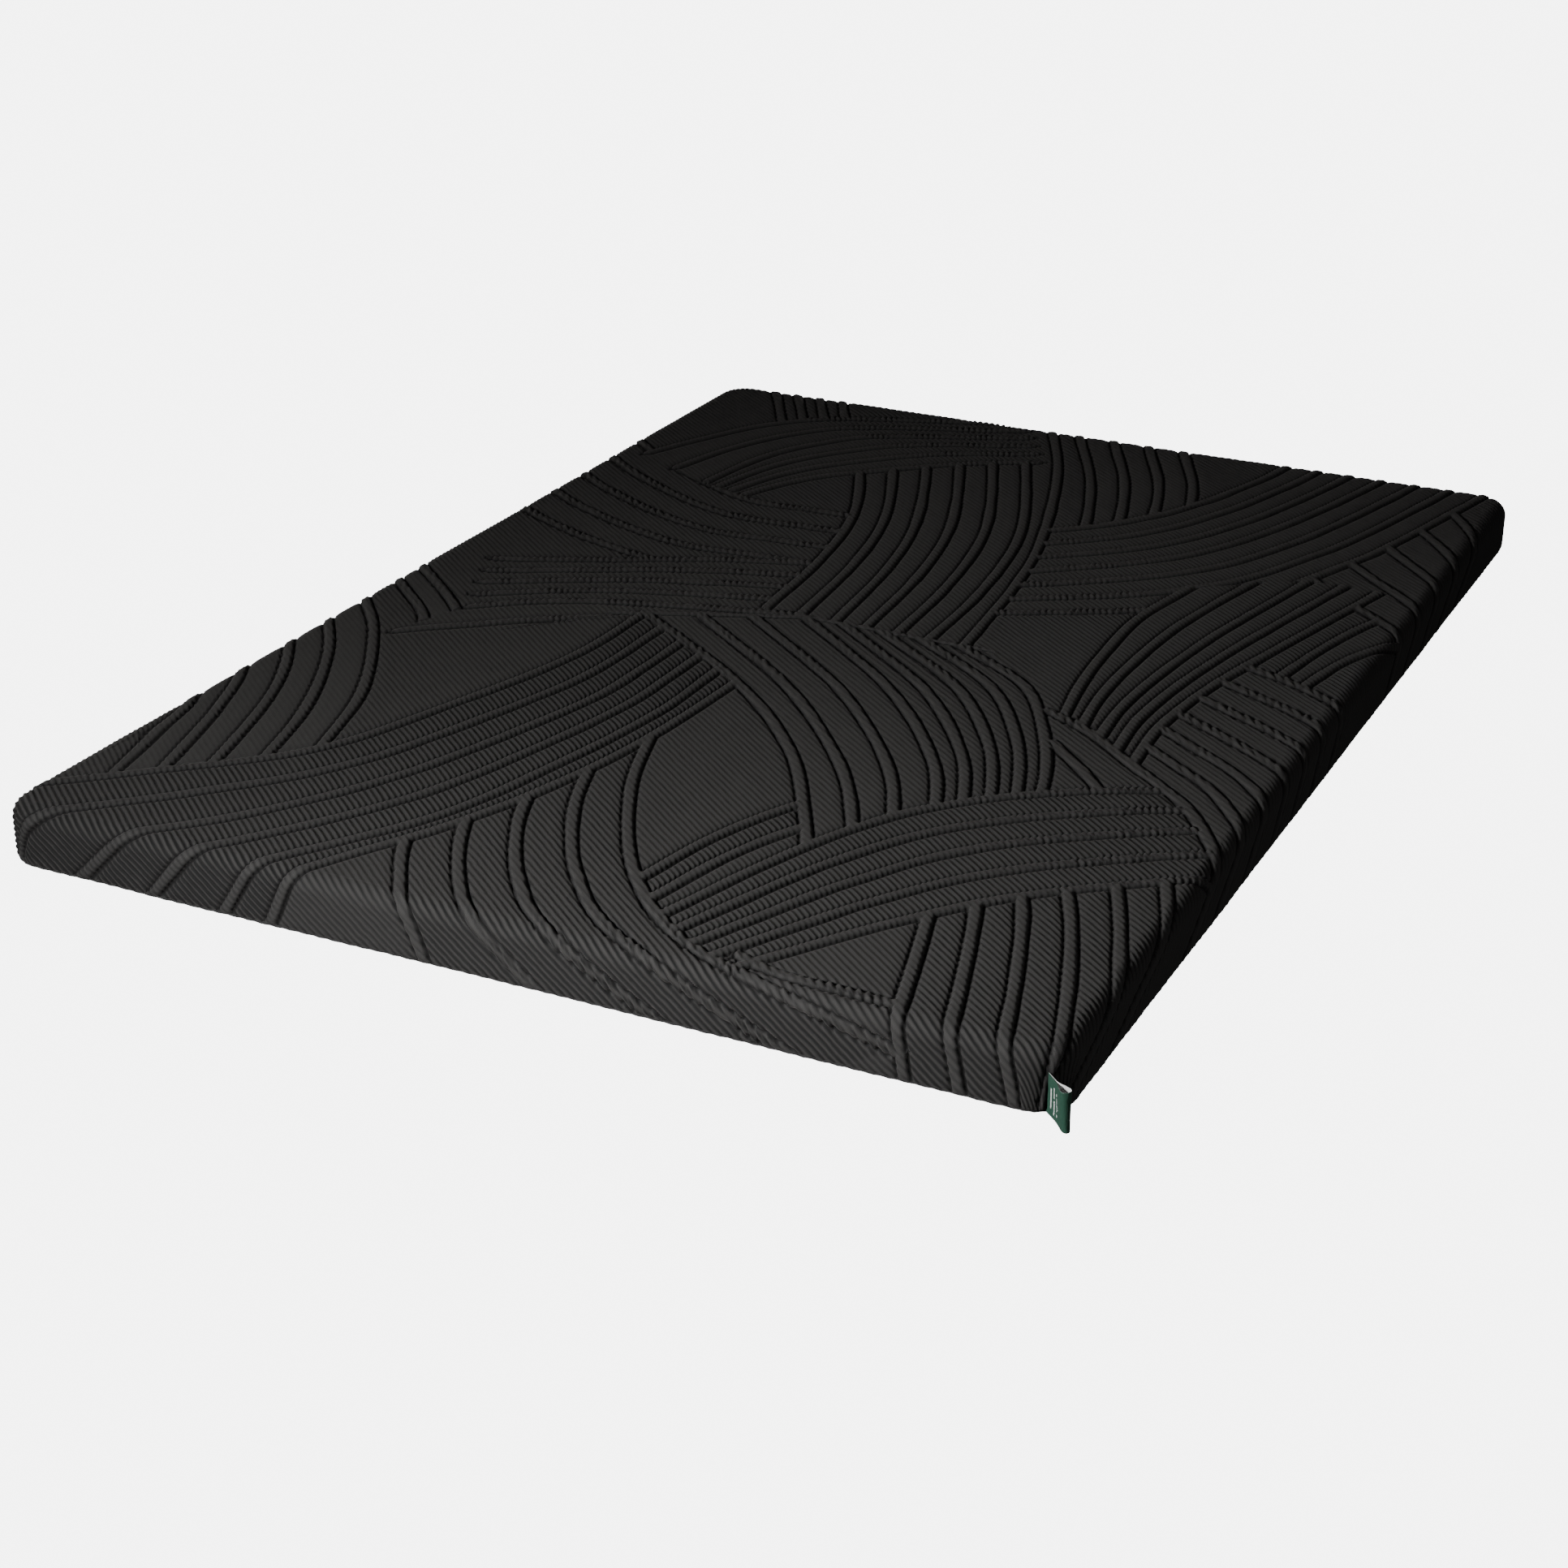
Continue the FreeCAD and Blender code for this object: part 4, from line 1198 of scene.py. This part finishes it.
def build_labels():
    lo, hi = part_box("side_label")
    _, length = label_path()
    label = shell("side_label_cloth", [label_grid(0, length, lo.z, hi.z, 140, 34, 0.0)], LABEL_T)
    dress(label, label_material(), "side_label")
    plates = [label_grid(first * MM + LABEL_ROOT_IN, (first + width) * MM + LABEL_ROOT_IN,
                         hi.z - up * MM, hi.z - down * MM, 4, 8, LABEL_T / 2 + MARK_LIFT)
              for first, width, spans in LABEL_MARKS for down, up in spans]
    marks = shell("side_label_marks", plates, MARK_T)
    dress(marks, thread_material("mark_thread", grey(0.70)))

    lo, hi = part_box("care_label")
    x, z = np.meshgrid(np.linspace(lo.x, hi.x, 26), np.linspace(lo.z, hi.z, 32))
    wave = RIBBON_WAVE * np.sin(x / 0.0035 + z / 0.009)
    care = shell("care_ribbon", [facing_back(x, z, lo, hi, wave)], (hi.y - lo.y) * 0.5)
    dress(care, satin_material(), "care_label")


# ------------------------------------------------------------------ the filling
def filling(name, node, drop, inset, corner_r, top_r, base_r, waves, material):
    """A closed padded slab in the place of a CAD one, its top a little lower, its skin uneven by the waves
    given, each as its lump size, height and seed."""
    lo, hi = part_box(node)
    slab = Slab((lo.x + inset, lo.y + inset, lo.z), (hi.x - inset, hi.y - inset, hi.z - drop),
                corner_r, top_r, base_r, FILLING_STEP, closed=True)
    height = np.zeros(len(slab.verts))
    for size, tall, seed in waves:
        height += tall * (noise(slab.flat + slab.verts[:, 2:] * 0.7, size, seed) - 1)
    obj = mesh_object(name, slab.verts + slab.normals * height[:, None], slab.quads)
    keep_attribute(obj, "cloth", np.column_stack([slab.flat, slab.verts[:, 2]]))
    dress(obj, material, node)


def build_filling():
    filling("sock_sleeve", "inner_sock", SOCK_DROP, 0.0, SOCK_CORNER_R, SOCK_EDGE_R, SOCK_EDGE_R,
            [(0.16, 0.0005, 61), (0.045, 0.0003, 62)], sock_material())
    filling("comfort_pad", "comfort_layer", SOCK_DROP + FOAM_DROP, FOAM_INSET,
            SOCK_CORNER_R, FOAM_EDGE_R, FOAM_CUT_R, [(0.12, 0.0003, 63)],
            foam_material("comfort_foam_cells", (0.70, 0.68, 0.58, 1.0)))
    filling("core_pad", "support_core", LAYER_GAP, FOAM_INSET,
            SOCK_CORNER_R, FOAM_CUT_R, FOAM_EDGE_R, [(0.12, 0.0003, 64)],
            foam_material("core_foam_cells", (0.35, 0.40, 0.46, 1.0)))
    lo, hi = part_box("inner_sock_seam")
    at = np.arange(lo.x, hi.x, ZIGZAG_PITCH)
    side = np.where(np.arange(len(at)) % 2 == 0, 1.0, -1.0)
    centres = row_of(at, hi.y - 0.0001, (lo.z + hi.z) / 2)
    along = unit(0.75 * RIGHT + 0.66 * side[:, None] * UP)
    seam = stitches("sock_zigzag", centres, along, -BACK, ZIGZAG_LEN, ZIGZAG_R)
    dress(seam, thread_material("thread_white", grey(0.75)), "inner_sock_seam")


build_filling()
build_cap()
build_base()
build_bindings()
build_zip()
build_labels()

# ------------------------------------------------------------------ camera, floor and light
CAMERA_PLACE = (1.5724, -3.4715, 1.5766)
CAMERA_YAW = -0.4510       # angles in radians
CAMERA_PITCH = 0.4278
CAMERA_ROLL = 0.0047
CAMERA_LENS = 66.44
cam_data = bpy.data.cameras.new("camera")
cam_data.lens = CAMERA_LENS
cam_data.sensor_width = 36.0
cam = bpy.data.objects.new("camera", cam_data)
bpy.context.scene.collection.objects.link(cam)
level = math.cos(CAMERA_PITCH)
look = Vector((level * math.sin(CAMERA_YAW), level * math.cos(CAMERA_YAW), -math.sin(CAMERA_PITCH)))
cam.rotation_mode = "QUATERNION"
roll = Matrix.Rotation(CAMERA_ROLL, 3, "Z").to_quaternion()
cam.rotation_quaternion = look.to_track_quat("-Z", "Y") @ roll
cam.location = CAMERA_PLACE
bpy.context.scene.camera = cam


def area_light(name, place, target, size, power, glossy=True):
    data = bpy.data.lights.new(name, "AREA")
    data.shape = "DISK"
    data.size = size
    data.energy = power
    obj = bpy.data.objects.new(name, data)
    obj.visible_camera = False
    obj.visible_glossy = glossy
    obj.location = place
    obj.rotation_mode = "QUATERNION"
    obj.rotation_quaternion = (Vector(target) - Vector(place)).to_track_quat("-Z", "Y")
    bpy.context.scene.collection.objects.link(obj)
    return obj


STAGE = 30.0               # half the floor's side, and the backdrop's height
corners = [(-STAGE, -STAGE), (STAGE, -STAGE), (STAGE, STAGE), (-STAGE, STAGE)]
floor = mesh_object("floor", [(x, y, 0) for x, y in corners], [(0, 1, 2, 3)], body=None)
backdrop = mesh_object("backdrop", [(x, y, z) for z in (0, STAGE) for x, y in corners],
                       [(0, 1, 5, 4), (1, 2, 6, 5), (2, 3, 7, 6), (3, 0, 4, 7)], body=None)
floor_nodes = Nodes("floor")
floor_nodes.set(Base_Color=(0.0, 0.0, 0.0, 1.0), Roughness=1.0, Specular_IOR_Level=0.0,
                Emission_Color=(1.0, 1.0, 1.0, 1.0), Emission_Strength=6.0)
for sheet in (floor, backdrop):
    sheet.data.materials.append(floor_nodes.material)
    sheet.visible_diffuse = False
    sheet.visible_glossy = False
backdrop.visible_shadow = False

front = area_light("front", (-0.65, -2.65, 1.10), (0.65, -0.6, 0.0), 0.45, 41.0)
front.data.spread = math.radians(105)
area_light("left", (-3.0, -1.6, 1.2), (0.0, -0.5, 0.0), 1.0, 2.5)
area_light("right", (2.7, -1.5, 0.7), (0.6, -0.3, 0.0), 0.8, 8.0)
area_light("low rear", (-0.3, 3.4, 0.040), (-0.1, 1.0, 0.04), 0.06, 60.0, glossy=False)
area_light("low left", (-3.2, 0.4, 0.040), (-0.7, 0.1, 0.04), 0.06, 50.0, glossy=False)
world = bpy.data.worlds.new("world")
bpy.context.scene.world = world
world.use_nodes = True
world.node_tree.nodes["Background"].inputs["Color"].default_value = (1, 1, 1, 1)
world.node_tree.nodes["Background"].inputs["Strength"].default_value = 0.04
